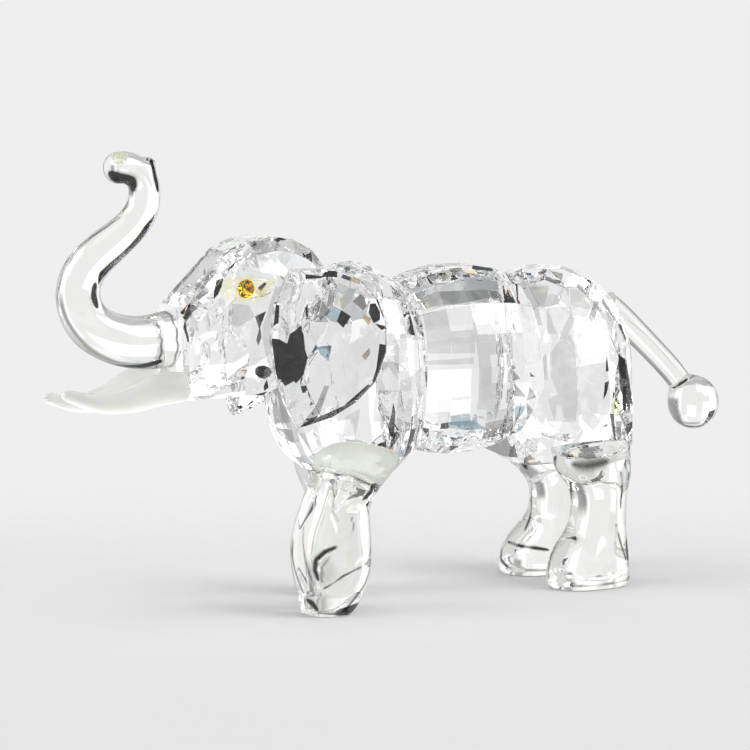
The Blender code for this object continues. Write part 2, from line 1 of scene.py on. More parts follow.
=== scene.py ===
"""Looks of a clear crystal elephant figurine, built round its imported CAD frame.

The cut pieces are the CAD blocks with polished facet edges. The hot-formed legs, trunk, tusks and
tail are swept again at a higher resolution from the same lines. Sizes are in metres, or in
millimetres times MM. A layout is in millimetres, with an X that is MIDDLE_X more than the frame's.
The elephant faces -X, its left flank is on the -Y side, and Z = 0 is the table.
"""

import math
import random

import bmesh
import bpy
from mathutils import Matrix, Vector


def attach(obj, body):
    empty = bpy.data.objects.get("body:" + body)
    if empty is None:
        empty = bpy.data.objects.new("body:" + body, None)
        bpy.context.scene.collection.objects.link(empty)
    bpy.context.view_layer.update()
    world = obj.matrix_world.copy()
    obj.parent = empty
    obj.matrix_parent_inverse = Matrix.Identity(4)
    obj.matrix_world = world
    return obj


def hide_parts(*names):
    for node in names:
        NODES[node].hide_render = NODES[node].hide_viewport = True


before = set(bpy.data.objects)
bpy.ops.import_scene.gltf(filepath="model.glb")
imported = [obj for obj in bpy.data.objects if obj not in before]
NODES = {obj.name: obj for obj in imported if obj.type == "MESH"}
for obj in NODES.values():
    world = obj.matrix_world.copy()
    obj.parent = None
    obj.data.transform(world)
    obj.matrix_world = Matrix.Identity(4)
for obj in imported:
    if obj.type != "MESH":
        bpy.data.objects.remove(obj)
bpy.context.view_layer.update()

MM = 0.001
MIDDLE_X = 5.8

# Camera: where it looks, from which side, and through which lens
TARGET = Vector((-0.0058, 0.0, 0.05405))
CAMERA_AZIMUTH = math.radians(-29.5)
CAMERA_ELEVATION = math.radians(8.0)
CAMERA_DISTANCE = 1.2
LENS_MM = 240
SENSOR_MM = 36
CAMERA_CLIP = (0.05, 20)

CUT_CRYSTAL_NODES = ("chest", "barrel", "hips", "head", "left_ear", "right_ear")
BONDS = tuple(sorted(name for name in NODES if name.startswith("bond_")))
# The outline and the unit normal of each flat side of each film of adhesive, set by main()
FILM_OUTLINES = []


# The dishes of the head and the lines of the hot-formed pieces, as layouts
MUZZLE_X = -55.3
FILM_SPACE = 0.30
SCOOP_CENTRE = Vector((-51.5, 25.2, 62.5))
SCOOP_HALF = (15.66, 15.66, 15.66)
RECESS_CENTRE = Vector((-40.0, 12.1, 78.8))
RECESS_HALF = (6.05, 1.55, 2.65)
EYE_CENTRE = Vector((-40.8, 11.2, 78.5))
TRUNK_LINE = (
    (-55.5, 66.4), (-62.5, 66.0), (-70.3, 67.6), (-76.6, 71.6), (-79.2, 78.0), (-77.6, 83.4),
    (-73.4, 87.6), (-66.8, 92.2), (-62.8, 96.4), (-61.6, 101.0), (-62.6, 104.9), (-65.8, 107.1),
    (-68.6, 107.3),
)
TRUNK_RADII = (6.7, 6.3, 5.9, 5.5, 5.2, 5.0, 4.7, 4.2, 3.9, 3.7, 3.7, 3.8, 3.7)
# A swell on top of the trunk's upper bend: its middle, its half sizes and its height
TRUNK_SWELL = ((-60.2, 0.0, 108.2), (1.7, 2.2, 1.7), 1.5)
# The pit of the nostril: its middle and its half sizes
NOSTRIL_CENTRE = (-68.9, -1.9, 110.2)
NOSTRIL_HALF = (1.9, 1.5, 2.2)
TUSK_LINE = ((-55.5, 56.2), (-61.5, 55.7), (-69.0, 53.6), (-76.5, 53.3), (-83.05, 55.2))
TUSK_RADII = (3.5, 3.7, 2.9, 2.2, 1.5)
TUSK_ROOT_Y = 7.8
TUSK_TIP_Y = 5.0
RIGHT_TUSK_DROOP = math.radians(3.5)
TAIL_LINE = ((65.0, 67.0), (69.3, 63.9), (76.0, 57.8), (83.1, 51.0), (87.0, 46.6))
TAIL_RADII = (3.7, 3.3, 3.1, 3.0, 2.9)
TAIL_BALL_CENTRE = Vector((91.1, 0, 41.0))
TAIL_BALL_RADIUS = 6.4
TAIL_BALL_STRETCH = 1.04
# The way from the ball towards its neck, how far the neck is drawn out, and how narrow it is
TAIL_BALL_NECK = Vector((-0.62, 0.0, 0.78))
TAIL_NECK_REACH = 0.30
TAIL_NECK_POWER = 6
TAIL_JOINT_POINT = Vector((66.6, 0, 65.0))
TAIL_JOINT_NORMAL = Vector((0.90, 0, 0.44)).normalized()
FRONT_LEFT_JOINT = (Vector((-12.2, 13.0, 36.4)), Vector((0.24, -0.46, 0.85)).normalized())
FRONT_RIGHT_JOINT = (Vector((-5.0, 13.0, 35.4)), Vector((0.05, -0.46, 0.88)).normalized())
HIND_JOINT = (Vector((53.5, 13.0, 33.5)), Vector((0.0, -0.40, 0.92)).normalized())
# Sections of the legs: (X, outward Y, Z, half length, half width)
HIND_LEG = (
    (53.6, 12.2, 44.0, 9.3, 8.2), (53.6, 12.2, 36.0, 9.3, 8.2), (53.9, 12.2, 30.0, 9.3, 8.0),
    (55.6, 11.4, 26.2, 8.3, 7.0), (57.3, 9.9, 22.0, 6.8, 6.0), (57.0, 9.8, 15.0, 6.9, 6.0),
    (54.6, 10.8, 9.5, 9.2, 6.8), (53.4, 11.4, 4.5, 10.3, 7.7), (53.4, 11.5, 1.2, 10.4, 7.8),
    (53.4, 11.5, 0.0, 9.8, 7.2),
)
STRAIGHT_LEG = (
    (-4.8, 12.4, 46.0, 9.4, 8.0), (-4.8, 12.4, 38.0, 9.4, 8.0), (-4.8, 12.4, 31.0, 9.2, 7.8),
    (-5.0, 11.8, 26.5, 7.6, 6.8), (-5.2, 11.2, 22.0, 6.2, 5.8), (-5.6, 11.2, 12.0, 6.2, 5.8),
    (-6.2, 11.5, 6.0, 7.2, 6.8), (-6.4, 11.5, 1.2, 7.4, 7.0), (-6.4, 11.5, 0.0, 6.9, 6.5),
)
STEPPING_LEG = (
    (-10.8, 13.2, 52.0, 10.2, 8.2), (-11.6, 13.2, 43.0, 10.2, 8.2),
    (-12.6, 13.0, 35.5, 10.2, 8.2), (-15.4, 12.2, 30.0, 8.8, 7.2), (-17.6, 11.6, 25.0, 8.4, 6.6),
    (-18.4, 11.5, 20.0, 9.5, 6.8), (-18.6, 11.5, 14.5, 9.9, 7.0), (-18.4, 11.5, 9.0, 9.3, 7.2),
    (-18.6, 11.5, 3.6, 7.5, 6.9), (-19.6, 11.5, -2.0, 5.8, 6.2), (-20.6, 11.5, -6.0, 5.0, 5.6),
)


# Nodes of a material or of the world

class Graph:
    """Builds node trees from short calls that return sockets."""

    def __init__(self, tree):
        self.tree = tree
        tree.nodes.clear()

    def node(self, kind, settings=(), inputs=()):
        made = self.tree.nodes.new(kind)
        for name, value in dict(settings).items():
            setattr(made, name, value)
        for name, value in dict(inputs).items():
            if isinstance(value, bpy.types.NodeSocket):
                self.tree.links.new(value, made.inputs[name])
            else:
                made.inputs[name].default_value = value
        return made

    def math(self, operation, a, b=0.0):
        return self.node("ShaderNodeMath", {"operation": operation}, {0: a, 1: b}).outputs[0]

    def ramp_between(self, value, low, high, out_low=0.0, out_high=1.0):
        made = self.node(
            "ShaderNodeMapRange",
            {"interpolation_type": "SMOOTHSTEP"},
            {
                "Value": value, "From Min": low, "From Max": high,
                "To Min": out_low, "To Max": out_high,
            },
        )
        return made.outputs["Result"]

    def mix_colour(self, share, first, second):
        made = self.node("ShaderNodeMix", {"data_type": "RGBA"})
        for name, value in (("Factor_Float", share), ("A_Color", first), ("B_Color", second)):
            socket = next(s for s in made.inputs if s.identifier == name)
            if isinstance(value, bpy.types.NodeSocket):
                self.tree.links.new(value, socket)
            else:
                socket.default_value = value
        return next(s for s in made.outputs if s.identifier == "Result_Color")

    def vector(self, operation, a, b=(0.0, 0.0, 0.0), scale=1.0):
        made = self.node("ShaderNodeVectorMath", {"operation": operation}, {0: a, 1: b, 3: scale})
        return made.outputs["Value" if operation in ("LENGTH", "DOT_PRODUCT") else "Vector"]

    def window(self, value, low, high, soft):
        """1 between low and high, falling to 0 over the soft width on either side."""
        rise = self.ramp_between(value, low - soft, low)
        fall = self.ramp_between(value, high, high + soft, 1.0, 0.0)
        return self.math("MULTIPLY", rise, fall)

    def noise(self, place, scale, detail=1.0):
        inputs = {"Vector": place, "Scale": scale, "Detail": detail}
        return self.node("ShaderNodeTexNoise", (), inputs).outputs

    def attribute(self, name):
        return self.node("ShaderNodeAttribute", {"attribute_name": name}).outputs

    def place(self):
        return self.node("ShaderNodeTexCoord").outputs["Object"]

    def first_hit(self):
        """1 where light from the eye first meets the glass, and 0 once it is inside."""
        depth = self.node("ShaderNodeLightPath").outputs["Transmission Depth"]
        return self.math("LESS_THAN", depth, 0.5)

    def waviness(self, place, scale, detail):
        """A normal that ripples by WAVE_DEPTH."""
        height = self.noise(place, scale, detail)["Fac"]
        inputs = {"Height": height, "Strength": 1.0, "Distance": WAVE_DEPTH}
        return self.node("ShaderNodeBump", (), inputs).outputs[0]

    def shader(self, kind, colour=None):
        made = self.node("ShaderNode" + kind, (), {} if colour is None else {"Color": colour})
        return made.outputs[0]

    def mix_shader(self, share, first, second):
        return self.node("ShaderNodeMixShader", (), {0: share, 1: first, 2: second}).outputs[0]


def opaque(colour):
    return (*colour, 1.0)


def grey(value):
    return opaque((value, value, value))


# Studio: bearing 0 is straight behind the figurine as the camera sees it, +90 is to its right,
# and 180 is the camera's own side.

BACKDROP = 0.862
STUDIO_BASE = 0.90
FLOOR_COLOUR = 0.515
FLOOR_RADIUS = 1.6
FLOOR_DROP = 0.0002
# How far behind the figurine's middle the floor starts and ends to fade into the backdrop
FLOOR_FADE = (0.03, 0.17)
# (bearing from, bearing to, height from, height to, softness, colour), in degrees
BRIGHT_CARDS = (
    (-180, 180, -90, -55, 3, (0.72, 0.72, 0.72)),
    (-70, 60, -55, -38, 1.5, (0.55, 0.56, 0.57)),
    (-70, -26, -38, 8, 1.0, (1.20, 1.20, 1.20)),
    (-26, -12, -8, 22, 1.0, (1.18, 1.18, 1.18)),
    (-1, 13, -3, 16, 0.8, (1.12, 1.12, 1.12)),
    (14, 24, 12, 30, 0.8, (1.05, 1.05, 1.05)),
    (24, 40, -30, 6, 1.5, (1.20, 1.20, 1.20)),
    (34, 66, -6, 60, 10, (0.30, 0.30, 0.31)),
    (-16, -4, -36, -24, 1.0, (1.15, 1.15, 1.15)),
    (-12, 30, 32, 40, 1.0, (0.45, 0.52, 0.56)),
)
SOFT_BOXES = (
    (84, 126, 26, 62, 3, (6.0, 6.0, 6.0)),
    (-122, -84, 28, 60, 3, (4.0, 4.0, 4.0)),
    (-180, 180, 70, 90, 4, (2.2, 2.2, 2.2)),
)
# Black flags: (bearing from, bearing to, height from, height to)
FLAGS = (
    (-50, -27, 10, 62),
    (-62, 42, 50, 66),
    (104, 120, -32, 14),
    (140, 238, -35, 31),
)
FLAG_COLOUR = (0.008, 0.008, 0.009)
# The flags on the camera's side show only in light that has turned inside the glass, so that the
# glass is as clear from behind as it is from the front
CAMERA_SIDE = 135
INNER_TURNS = 3.5
# White crystal splits light, so the flags carry a narrow blue and a narrow orange border
FLAG_SOFT = 0.4
FRINGE = 0.8
FRINGE_COLOURS = ((0.50, 0.72, 1.10), (1.10, 0.80, 0.52))


def fringed_flags():
    """The black flags, each laid over its coloured borders. One that passes 180 is split in two."""
    cards = []
    for b0, b1, h0, h1 in FLAGS:
        spans = [(b0, b1)] if b1 <= 180 else [(b0, 190), (-190, b1 - 360)]
        for start, end in spans:
            cards += [
                (start - FRINGE, end, h0, h1 + FRINGE, FLAG_SOFT, FRINGE_COLOURS[0]),
                (start, end + FRINGE, h0 - FRINGE, h1, FLAG_SOFT, FRINGE_COLOURS[1]),
                (start, end, h0, h1, FLAG_SOFT, FLAG_COLOUR),
            ]
    return tuple(cards)


def build_world():
    world = bpy.data.worlds.new("studio")
    world.use_nodes = True
    graph = Graph(world.node_tree)
    direction = graph.node("ShaderNodeTexCoord").outputs["Generated"]
    from_camera = graph.node(
        "ShaderNodeVectorRotate",
        {"rotation_type": "Z_AXIS"},
        {"Vector": direction, "Angle": -CAMERA_AZIMUTH},
    )
    parts = graph.node("ShaderNodeSeparateXYZ", (), {0: from_camera.outputs[0]})
    right, away, up = parts.outputs
    to_degrees = 180 / math.pi
    bearing = graph.math("MULTIPLY", graph.math("ARCTAN2", right, away), to_degrees)
    height = graph.math("MULTIPLY", graph.math("ARCSINE", up), to_degrees)
    path = graph.node("ShaderNodeLightPath").outputs
    turned_inside = graph.math("GREATER_THAN", path["Ray Depth"], INNER_TURNS)
    colour = grey(STUDIO_BASE)
    for b0, b1, h0, h1, soft, shade in BRIGHT_CARDS + fringed_flags() + SOFT_BOXES:
        all_round = (b0, b1) == (-180, 180)
        across = 1.0 if all_round else graph.window(bearing, b0, b1, soft)
        share = graph.math("MULTIPLY", across, graph.window(height, h0, h1, soft))
        if max(b1, -b0) > CAMERA_SIDE and not all_round:
            share = graph.math("MULTIPLY", share, turned_inside)
        colour = graph.mix_colour(share, colour, opaque(shade))
    colour = graph.mix_colour(path["Is Camera Ray"], colour, grey(BACKDROP))
    background = graph.node("ShaderNodeBackground", (), {"Color": colour, "Strength": 1.0})
    graph.node("ShaderNodeOutputWorld", (), {"Surface": background.outputs[0]})
    bpy.context.scene.world = world


def build_camera():
    camera = bpy.data.objects.new("camera", bpy.data.cameras.new("camera"))
    bpy.context.scene.collection.objects.link(camera)
    camera.data.lens = LENS_MM
    camera.data.sensor_width = SENSOR_MM
    camera.data.clip_start, camera.data.clip_end = CAMERA_CLIP
    level = math.cos(CAMERA_ELEVATION)
    back = Vector((
        math.sin(CAMERA_AZIMUTH) * level,
        -math.cos(CAMERA_AZIMUTH) * level,
        math.sin(CAMERA_ELEVATION),
    ))
    camera.location = TARGET + back * CAMERA_DISTANCE
    camera.rotation_mode = "QUATERNION"
    camera.rotation_quaternion = (-back).to_track_quat("-Z", "Y")
    bpy.context.scene.camera = camera


def build_floor():
    bm = bmesh.new()
    bmesh.ops.create_circle(bm, cap_ends=True, segments=96, radius=FLOOR_RADIUS)
    mesh = bpy.data.meshes.new("floor")
    bm.to_mesh(mesh)
    bm.free()
    floor = bpy.data.objects.new("floor", mesh)
    bpy.context.scene.collection.objects.link(floor)
    floor.location.z = -FLOOR_DROP
    material, graph = new_material("pale_floor")
    away = (math.sin(-CAMERA_AZIMUTH), math.cos(CAMERA_AZIMUTH), 0.0)
    behind = graph.vector("DOT_PRODUCT", graph.place(), away)
    fade = graph.ramp_between(behind, *FLOOR_FADE)
    seen = graph.node("ShaderNodeLightPath").outputs["Is Camera Ray"]
    solid = graph.math("MULTIPLY", seen, graph.math("SUBTRACT", 1.0, fade))
    diffuse = graph.shader("BsdfDiffuse", grey(FLOOR_COLOUR))
    clear = graph.shader("BsdfTransparent")
    finish_surface(graph, graph.mix_shader(graph.math("SUBTRACT", 1.0, solid), diffuse, clear))
    mesh.materials.append(material)


# Materials of the figurine

CUT_REFRACTION = 1.56
FORMED_REFRACTION = 1.52
WAVE_DEPTH = 2e-5
# The shades a facet may have, from 0 for SHADE_LIGHT to 1 for SHADE_DARK
SHADE_STEPS = (0.0, 0.0, 0.35, 0.6, 0.8, 1.0)
SHADE_LIGHT = (1.0, 1.0, 1.0)
SHADE_DARK = (0.86, 0.865, 0.87)
# How much the waves in a cut face tilt it
CUT_WAVE_TILT = 0.012
# Past this many turns inside, the glass shows a painted glow in place of further light: an emission
# of these colours
CUT_TURNS = 7.5
CUT_DEEP_GLOW = ((0.28, 0.285, 0.28), (0.95, 0.95, 0.94))
FORMED_TURNS = 4.5
FORMED_DEEP_GLOW = (0.66, 0.67, 0.64)
# Painted reflections: colours painted on the facets nearest to the eye, standing in for what they
# throw back from inside, as pairs of blended colours
PAINTED_REFLECTION_TONES = {
    "dark": ((0.0002, 0.0002, 0.0002), (0.0006, 0.0006, 0.0007)),
    "near_black": ((0.002, 0.002, 0.002), (0.03, 0.03, 0.028)),
    "dusk": ((0.16, 0.16, 0.155), (0.30, 0.30, 0.29)),
    "grey": ((0.54, 0.54, 0.55), (0.62, 0.62, 0.62)),
    "mist": ((0.46, 0.46, 0.40), (0.60, 0.60, 0.52)),
    "teal": ((0.03, 0.06, 0.08), (0.24, 0.36, 0.42)),
    "moss": ((0.46, 0.50, 0.16), (0.60, 0.62, 0.30)),
    "straw": ((0.95, 0.82, 0.42), (0.90, 0.66, 0.22)),
    "amber": ((0.45, 0.27, 0.10), (0.20, 0.17, 0.15)),
    "fire": ((0.50, 0.33, 0.16), (0.004, 0.006, 0.02)),
    "pale": ((0.55, 0.62, 0.66), (0.72, 0.70, 0.50)),
}


def principled(graph, colour, normal, **inputs):
    settings = {"Transmission Weight": 1.0, "Base Color": colour, "Normal": normal, **inputs}
    return graph.node("ShaderNodeBsdfPrincipled", (), settings).outputs[0]


def finish_surface(graph, shader):
    graph.node("ShaderNodeOutputMaterial", (), {"Surface": shader})


def new_material(name):
    material = bpy.data.materials.new(name)
    material.use_nodes = True
    material.cycles.emission_sampling = "NONE"
    return material, Graph(material.node_tree)


def paint_deep_glow(graph, shader, depth, colour):
    """Light that has already turned inside the glass this many times gives way to a painted glow,
    an emission of one colour, which stands for the many further turns it would take and keeps them
    from sparkling."""
    turns = graph.node("ShaderNodeLightPath").outputs["Ray Depth"]
    deep = graph.math("GREATER_THAN", turns, depth)
    return graph.mix_shader(deep, shader, graph.shader("Emission", colour))


def cut_material(name, cell, cell_tilt, facet_tilt=0.05, painted_tone=None, eye_reflection_oval=None):
    """Polished cut crystal. Each facet sits at its own slight tilt and shade, and each inner
    reflection is broken into cells of about the given size in millimetres. The first facet that the
    eye meets can carry a painted reflection, a pair of blended colours standing in for what it
    throws back. An oval of painted reflection can lie in the glass: its centre, half sizes and
    colour. Deep inside, the glass shows a painted glow, an emission of one colour per cell."""
    material, graph = new_material(name)
    place = graph.place()
    cells = graph.node(
        "ShaderNodeTexVoronoi", {"feature": "F1"}, {"Vector": place, "Scale": 1 / (cell * MM)}
    ).outputs["Color"]
    normal = graph.node("ShaderNodeNewGeometry").outputs["Normal"]
    for value, size, middle in (
        (cells, cell_tilt, (0.5, 0.5, 0.5)),
        (graph.attribute("facet_tilt")["Vector"], facet_tilt, (0.0, 0.0, 0.0)),
        (graph.noise(place, 140.0)["Color"], CUT_WAVE_TILT, (0.5, 0.5, 0.5)),
    ):
        offset = graph.vector("SUBTRACT", value, middle)
        normal = graph.vector("ADD", normal, graph.vector("SCALE", offset, scale=size))
    normal = graph.vector("NORMALIZE", normal)
    shade = graph.attribute("facet_shade")["Fac"]
    colour = graph.mix_colour(shade, opaque(SHADE_LIGHT), opaque(SHADE_DARK))
    # Painted reflection: where the eye first meets the glass, the facet takes the painted pair of
    # colours, standing in for what it throws back from inside
    if painted_tone:
        first, second = painted_tone
        share = graph.ramp_between(graph.noise(place, 220.0)["Fac"], 0.42, 0.58)
        reflection_colour = graph.mix_colour(share, opaque(first), opaque(second))
        colour = graph.mix_colour(graph.first_hit(), colour, reflection_colour)
    # Painted reflection: inside the oval the glass takes a colour, here the yellow that the eye
    # stone throws into the head
    if eye_reflection_oval:
        centre, reach, eye_reflection_colour = eye_reflection_oval
        offset = graph.vector("SUBTRACT", place, centre)
        offset = graph.vector("DIVIDE", offset, reach)
        share = graph.ramp_between(graph.vector("LENGTH", offset), 0.75, 1.1, 1.0, 0.0)
        colour = graph.mix_colour(share, colour, opaque(eye_reflection_colour))
    glass = principled(graph, colour, normal, Roughness=0.0, IOR=CUT_REFRACTION)
    # Painted glow for light deep inside: an emission between a dim and a bright colour, cell by
    # cell
    cell_level = graph.node("ShaderNodeSeparateColor", (), {0: cells}).outputs[0]
    dull, bright = CUT_DEEP_GLOW
    deep_glow = graph.mix_colour(
        graph.ramp_between(cell_level, 0.2, 0.8), opaque(dull), opaque(bright)
    )
    finish_surface(graph, paint_deep_glow(graph, glass, CUT_TURNS, deep_glow))
    return material


def glass_material(name, colour=(1, 1, 1), roughness=0.0, refraction=1.55, grain=0.0, **inputs):
    """Glass with a faint waviness from the flame or, with a grain in millimetres, a ground skin."""
    material, graph = new_material(name)
    scale = 1 / (grain * MM) if grain else FLAME_WAVES
    normal = graph.waviness(graph.place(), scale, 3.0)
    finish_surface(graph, principled(
        graph, opaque(colour), normal, Roughness=roughness, IOR=refraction, **inputs
    ))
    return material


FLAME_WAVES = 60.0
FORMED_TINT = (0.97, 0.975, 0.955)
# The colour of the painted shade at the rims of the formed glass
FORMED_PAINTED_EDGE_SHADE = (0.10, 0.105, 0.085)
# The near black of the painted dark reflections in streaks
PAINTED_STREAK_COLOUR = (0.0004, 0.0005, 0.0004)
SKIN_COLOUR = (0.62, 0.64, 0.585)
MILK_COLOUR = (0.86, 0.89, 0.84)


def formed_material():
    """Hot-formed glass: clear in the middle, with painted shade, dark and slightly green like the
    glass, where the eye looks along it at the rims, standing in for the dark refractions there. It
    carries painted dark reflections in soft streaks, and milky skins where the mesh asks for them."""
    material, graph = new_material("formed_crystal")
    place = graph.place()
    normal = graph.waviness(place, FLAME_WAVES, 1.0)
    near = graph.first_hit()
    # Painted shade at the rims: where the eye first meets the glass at a glancing angle, the colour
    # darkens, standing in for dark refractions along the edges
    facing = graph.node("ShaderNodeLayerWeight", (), {"Blend": 0.5}).outputs["Facing"]
    edge = graph.math("MULTIPLY", near, graph.ramp_between(facing, 0.45, 0.90, 0.0, 0.95))
    colour = graph.mix_colour(edge, opaque(FORMED_TINT), opaque(FORMED_PAINTED_EDGE_SHADE))
    # Painted dark reflections: where the mesh carries a streak, the first surface the eye meets
    # turns near black
    painted_streak = graph.ramp_between(graph.attribute("painted_streak")["Fac"], 0.15, 0.9)
    painted_streak = graph.math("MULTIPLY", near, painted_streak)
    colour = graph.mix_colour(painted_streak, colour, opaque(PAINTED_STREAK_COLOUR))
    glass = principled(graph, colour, normal, Roughness=0.0, IOR=FORMED_REFRACTION)
    clouds = graph.ramp_between(graph.noise(place, 120.0, 2.0)["Fac"], 0.35, 0.65, 0.45, 0.75)
    veil = graph.math("MULTIPLY", graph.attribute("veil")["Fac"], clouds)
    skin = graph.shader("BsdfDiffuse", opaque(SKIN_COLOUR))
    mixed = graph.mix_shader(veil, glass, skin)
    # Past the set number of turns, the formed glass shows a painted glow, an emission of one colour
    finish_surface(graph, paint_deep_glow(graph, mixed, FORMED_TURNS, opaque(FORMED_DEEP_GLOW)))
    return material


def milky_join_material():
    """A ground flat that shows through the glass as a pale, slightly green milkiness."""
    material, graph = new_material("milky_join")
    clouds = graph.ramp_between(graph.noise(graph.place(), 160.0, 3.0)["Fac"], 0.35, 0.65, 0.5, 0.8)
    diffuse = graph.shader("BsdfDiffuse", opaque(MILK_COLOUR))
    through = graph.shader("BsdfTranslucent", opaque(MILK_COLOUR))
    milk = graph.mix_shader(0.5, diffuse, through)
    finish_surface(graph, graph.mix_shader(clouds, graph.shader("BsdfTransparent"), milk))
    return material


def clear_join_material():
    """Nothing to see: a face bonded to glass that bends light in the same way."""
    material, graph = new_material("bonded_face")
    finish_surface(graph, graph.shader("BsdfTransparent", grey(1.0)))
    return material


# Mesh helpers


def curve_points(keys, steps, passes=0):
    """Rows of numbers along a Catmull-Rom curve through the key rows, then evened out."""
    keys = [list(row) for row in keys]
    ends = [
        [2 * a - b for a, b in zip(keys[0], keys[1])],
        [2 * a - b for a, b in zip(keys[-1], keys[-2])],
    ]
    padded = [ends[0], *keys, ends[1]]
    rows = []
    for step in range(steps + 1):
        place = step / steps * (len(keys) - 1)
        index = min(int(place), len(keys) - 2)
        t = place - index
        rows.append([
            b + 0.5 * t * (c - a + t * (2 * a - 5 * b + 4 * c - d + t * (3 * (b - c) + d - a)))
            for a, b, c, d in zip(*padded[index:index + 4])
        ])
    for _ in range(passes):
        rows = [
            row if index in (0, len(rows) - 1) else
            [(a + 2 * b + c) / 4 for a, b, c in zip(rows[index - 1], row, rows[index + 1])]
            for index, row in enumerate(rows)
        ]
    return rows


def signed_power(value, power):
    return math.copysign(abs(value) ** power, value)


def bridged(rings, end_point=None):
    """A closed mesh through rings of points. Its ends are flat, or the last runs to a point."""
    bm = bmesh.new()
    loops = [[bm.verts.new(point) for point in ring] for ring in rings]
    count = len(loops[0])
    for lower, upper in zip(loops, loops[1:]):
        for index in range(count):
            after = (index + 1) % count
            face = bm.faces.new((lower[index], lower[after], upper[after], upper[index]))
            face.smooth = True
    bm.faces.new(loops[0])
    if end_point is None:
        bm.faces.new(loops[-1])
    else:
        tip = bm.verts.new(end_point)
        for index in range(count):
            face = bm.faces.new((loops[-1][index], loops[-1][(index + 1) % count], tip))
            face.smooth = True
    bmesh.ops.recalc_face_normals(bm, faces=bm.faces)
    return bm


def swept_rod(line, radii, steps, sides=96, end_length=1.0, end_rings=24, passes=60):
    """A round rod along a curve of (x, y, z), with a flat start and a rounded end."""
    rows = curve_points([(*point, radius) for point, radius in zip(line, radii)], steps, passes)
    centres = [Vector(row[:3]) for row in rows]
    rings = []
    for index, row in enumerate(rows):
        before = centres[max(index - 1, 0)]
        after = centres[min(index + 1, len(centres) - 1)]
        along = (after - before).normalized()
        across = (Vector((0, 1, 0)) - along * along.y).normalized()
        upward = across.cross(along)
        rings.append((centres[index], row[3], across, upward, along))
    centre, radius, across, upward, along = rings[-1]
    for index in range(1, end_rings):
        angle = math.pi / 2 * index / end_rings
        reach = radius * end_length * math.sin(angle)
        rings.append((centre + along * reach, radius * math.cos(angle), across, upward, along))
    tip = centre + along * radius * end_length
    return bridged(
        [
            [
                middle + (across * math.cos(a) + upward * math.sin(a)) * size
                for a in (math.tau * k / sides for k in range(sides))
            ]
            for middle, size, across, upward, along in rings
        ],
        tip,
    )


def lofted_leg(sections, side, sides=112, steps=150, power=2.5, passes=30):
    """A hot-formed leg through level sections of (x, outward y, z, half length, half width)."""
    rings = []
    for x, y, z, half_x, half_y in curve_points(sections, steps, passes):
        rings.append([
            Vector((
                x + half_x * signed_power(math.cos(a), 2 / power),
                side * (y + half_y * signed_power(math.sin(a), 2 / power)),
                z,
            ))
            for a in (math.tau * k / sides for k in range(sides))
        ])
    return bridged(rings)


def grind(bm, point, normal):
    """Cuts everything past a plane away and closes the cut with one flat."""
    geometry = bm.verts[:] + bm.edges[:] + bm.faces[:]
    cut = bmesh.ops.bisect_plane(
        bm, geom=geometry, dist=1e-4, plane_co=point, plane_no=normal, clear_outer=True
    )
    rim = [item for item in cut["geom_cut"] if isinstance(item, bmesh.types.BMEdge)]
    if rim:
        made = bmesh.ops.contextual_create(bm, geom=rim)
        for face in made["faces"]:
            face.smooth = False


def to_metres(bm):
    for vertex in bm.verts:
        vertex.co = (vertex.co - Vector((MIDDLE_X, 0, 0))) * MM
    return bm


# Pieces

SAME_POINT = 1e-6
FLAT_ANGLE = math.radians(0.3)
# Faces count as parallel when the cosine between their normals is above this
PARALLEL = 0.9999
# How far from the plane of a film's flat side a face counts as on it, and as part of its joint
ON_PLANE = 0.05 * MM
JOINT_REACH = 0.6 * MM
# Facets that are smaller keep their sharp edges
SMALLEST_POLISHED = 2 * MM * MM


def node_bmesh(name):
    bm = bmesh.new()
    bm.from_mesh(NODES[name].data)
    bmesh.ops.remove_doubles(bm, verts=bm.verts, dist=SAME_POINT)
    bmesh.ops.dissolve_limit(
        bm, angle_limit=FLAT_ANGLE, verts=bm.verts, edges=bm.edges, use_dissolve_boundaries=False
    )
    bmesh.ops.recalc_face_normals(bm, faces=bm.faces)
    return bm


def largest_faces(bm, count=2):
    return sorted(bm.faces, key=lambda face: -face.calc_area())[:count]


def film_outlines():
    """The outline and the unit normal of each flat side of each adhesive film."""
    outlines = []
    for name in BONDS:
        if name.endswith("_eye"):
            continue
        bm = node_bmesh(name)
        for face in largest_faces(bm):
            outlines.append(([vertex.co.copy() for vertex in face.verts], face.normal.copy()))
        bm.free()
    return outlines


def surrounds(corners, axis):
    """Whether an outline, given from a point on its plane, runs round that point."""
    turns = 0.0
    for first, second in zip(corners, corners[1:] + corners[:1]):
        turns += math.atan2(first.cross(second).dot(axis), first.dot(second))
    return abs(turns) > math.pi


def inside(point, face, normal):
    """Whether a point on the plane of a face lies inside its outline."""
    return surrounds([vertex.co - point for vertex in face.verts], normal)


def is_joint_flat(face):
    return any(
        abs(face.normal.dot(direction)) > PARALLEL
        and abs((face.verts[0].co - outline[0]).dot(direction)) < JOINT_REACH
        for outline, direction in FILM_OUTLINES
    )


def polish_edges(bm, width):
    """Takes the sharpness off every facet edge except round the joints and round the facets smaller
    than SMALLEST_POLISHED.
    """
    bm.normal_update()
    flats = {face for face in bm.faces if is_joint_flat(face)}
    edges = [
        edge for edge in bm.edges
        if not flats.intersection(edge.link_faces)
        and min(face.calc_area() for face in edge.link_faces) > SMALLEST_POLISHED
    ]
    bmesh.ops.bevel(
        bm, geom=edges, offset=width * MM, segments=1, affect="EDGES", clamp_overlap=True
    )
    bmesh.ops.remove_doubles(bm, verts=bm.verts, dist=SAME_POINT)


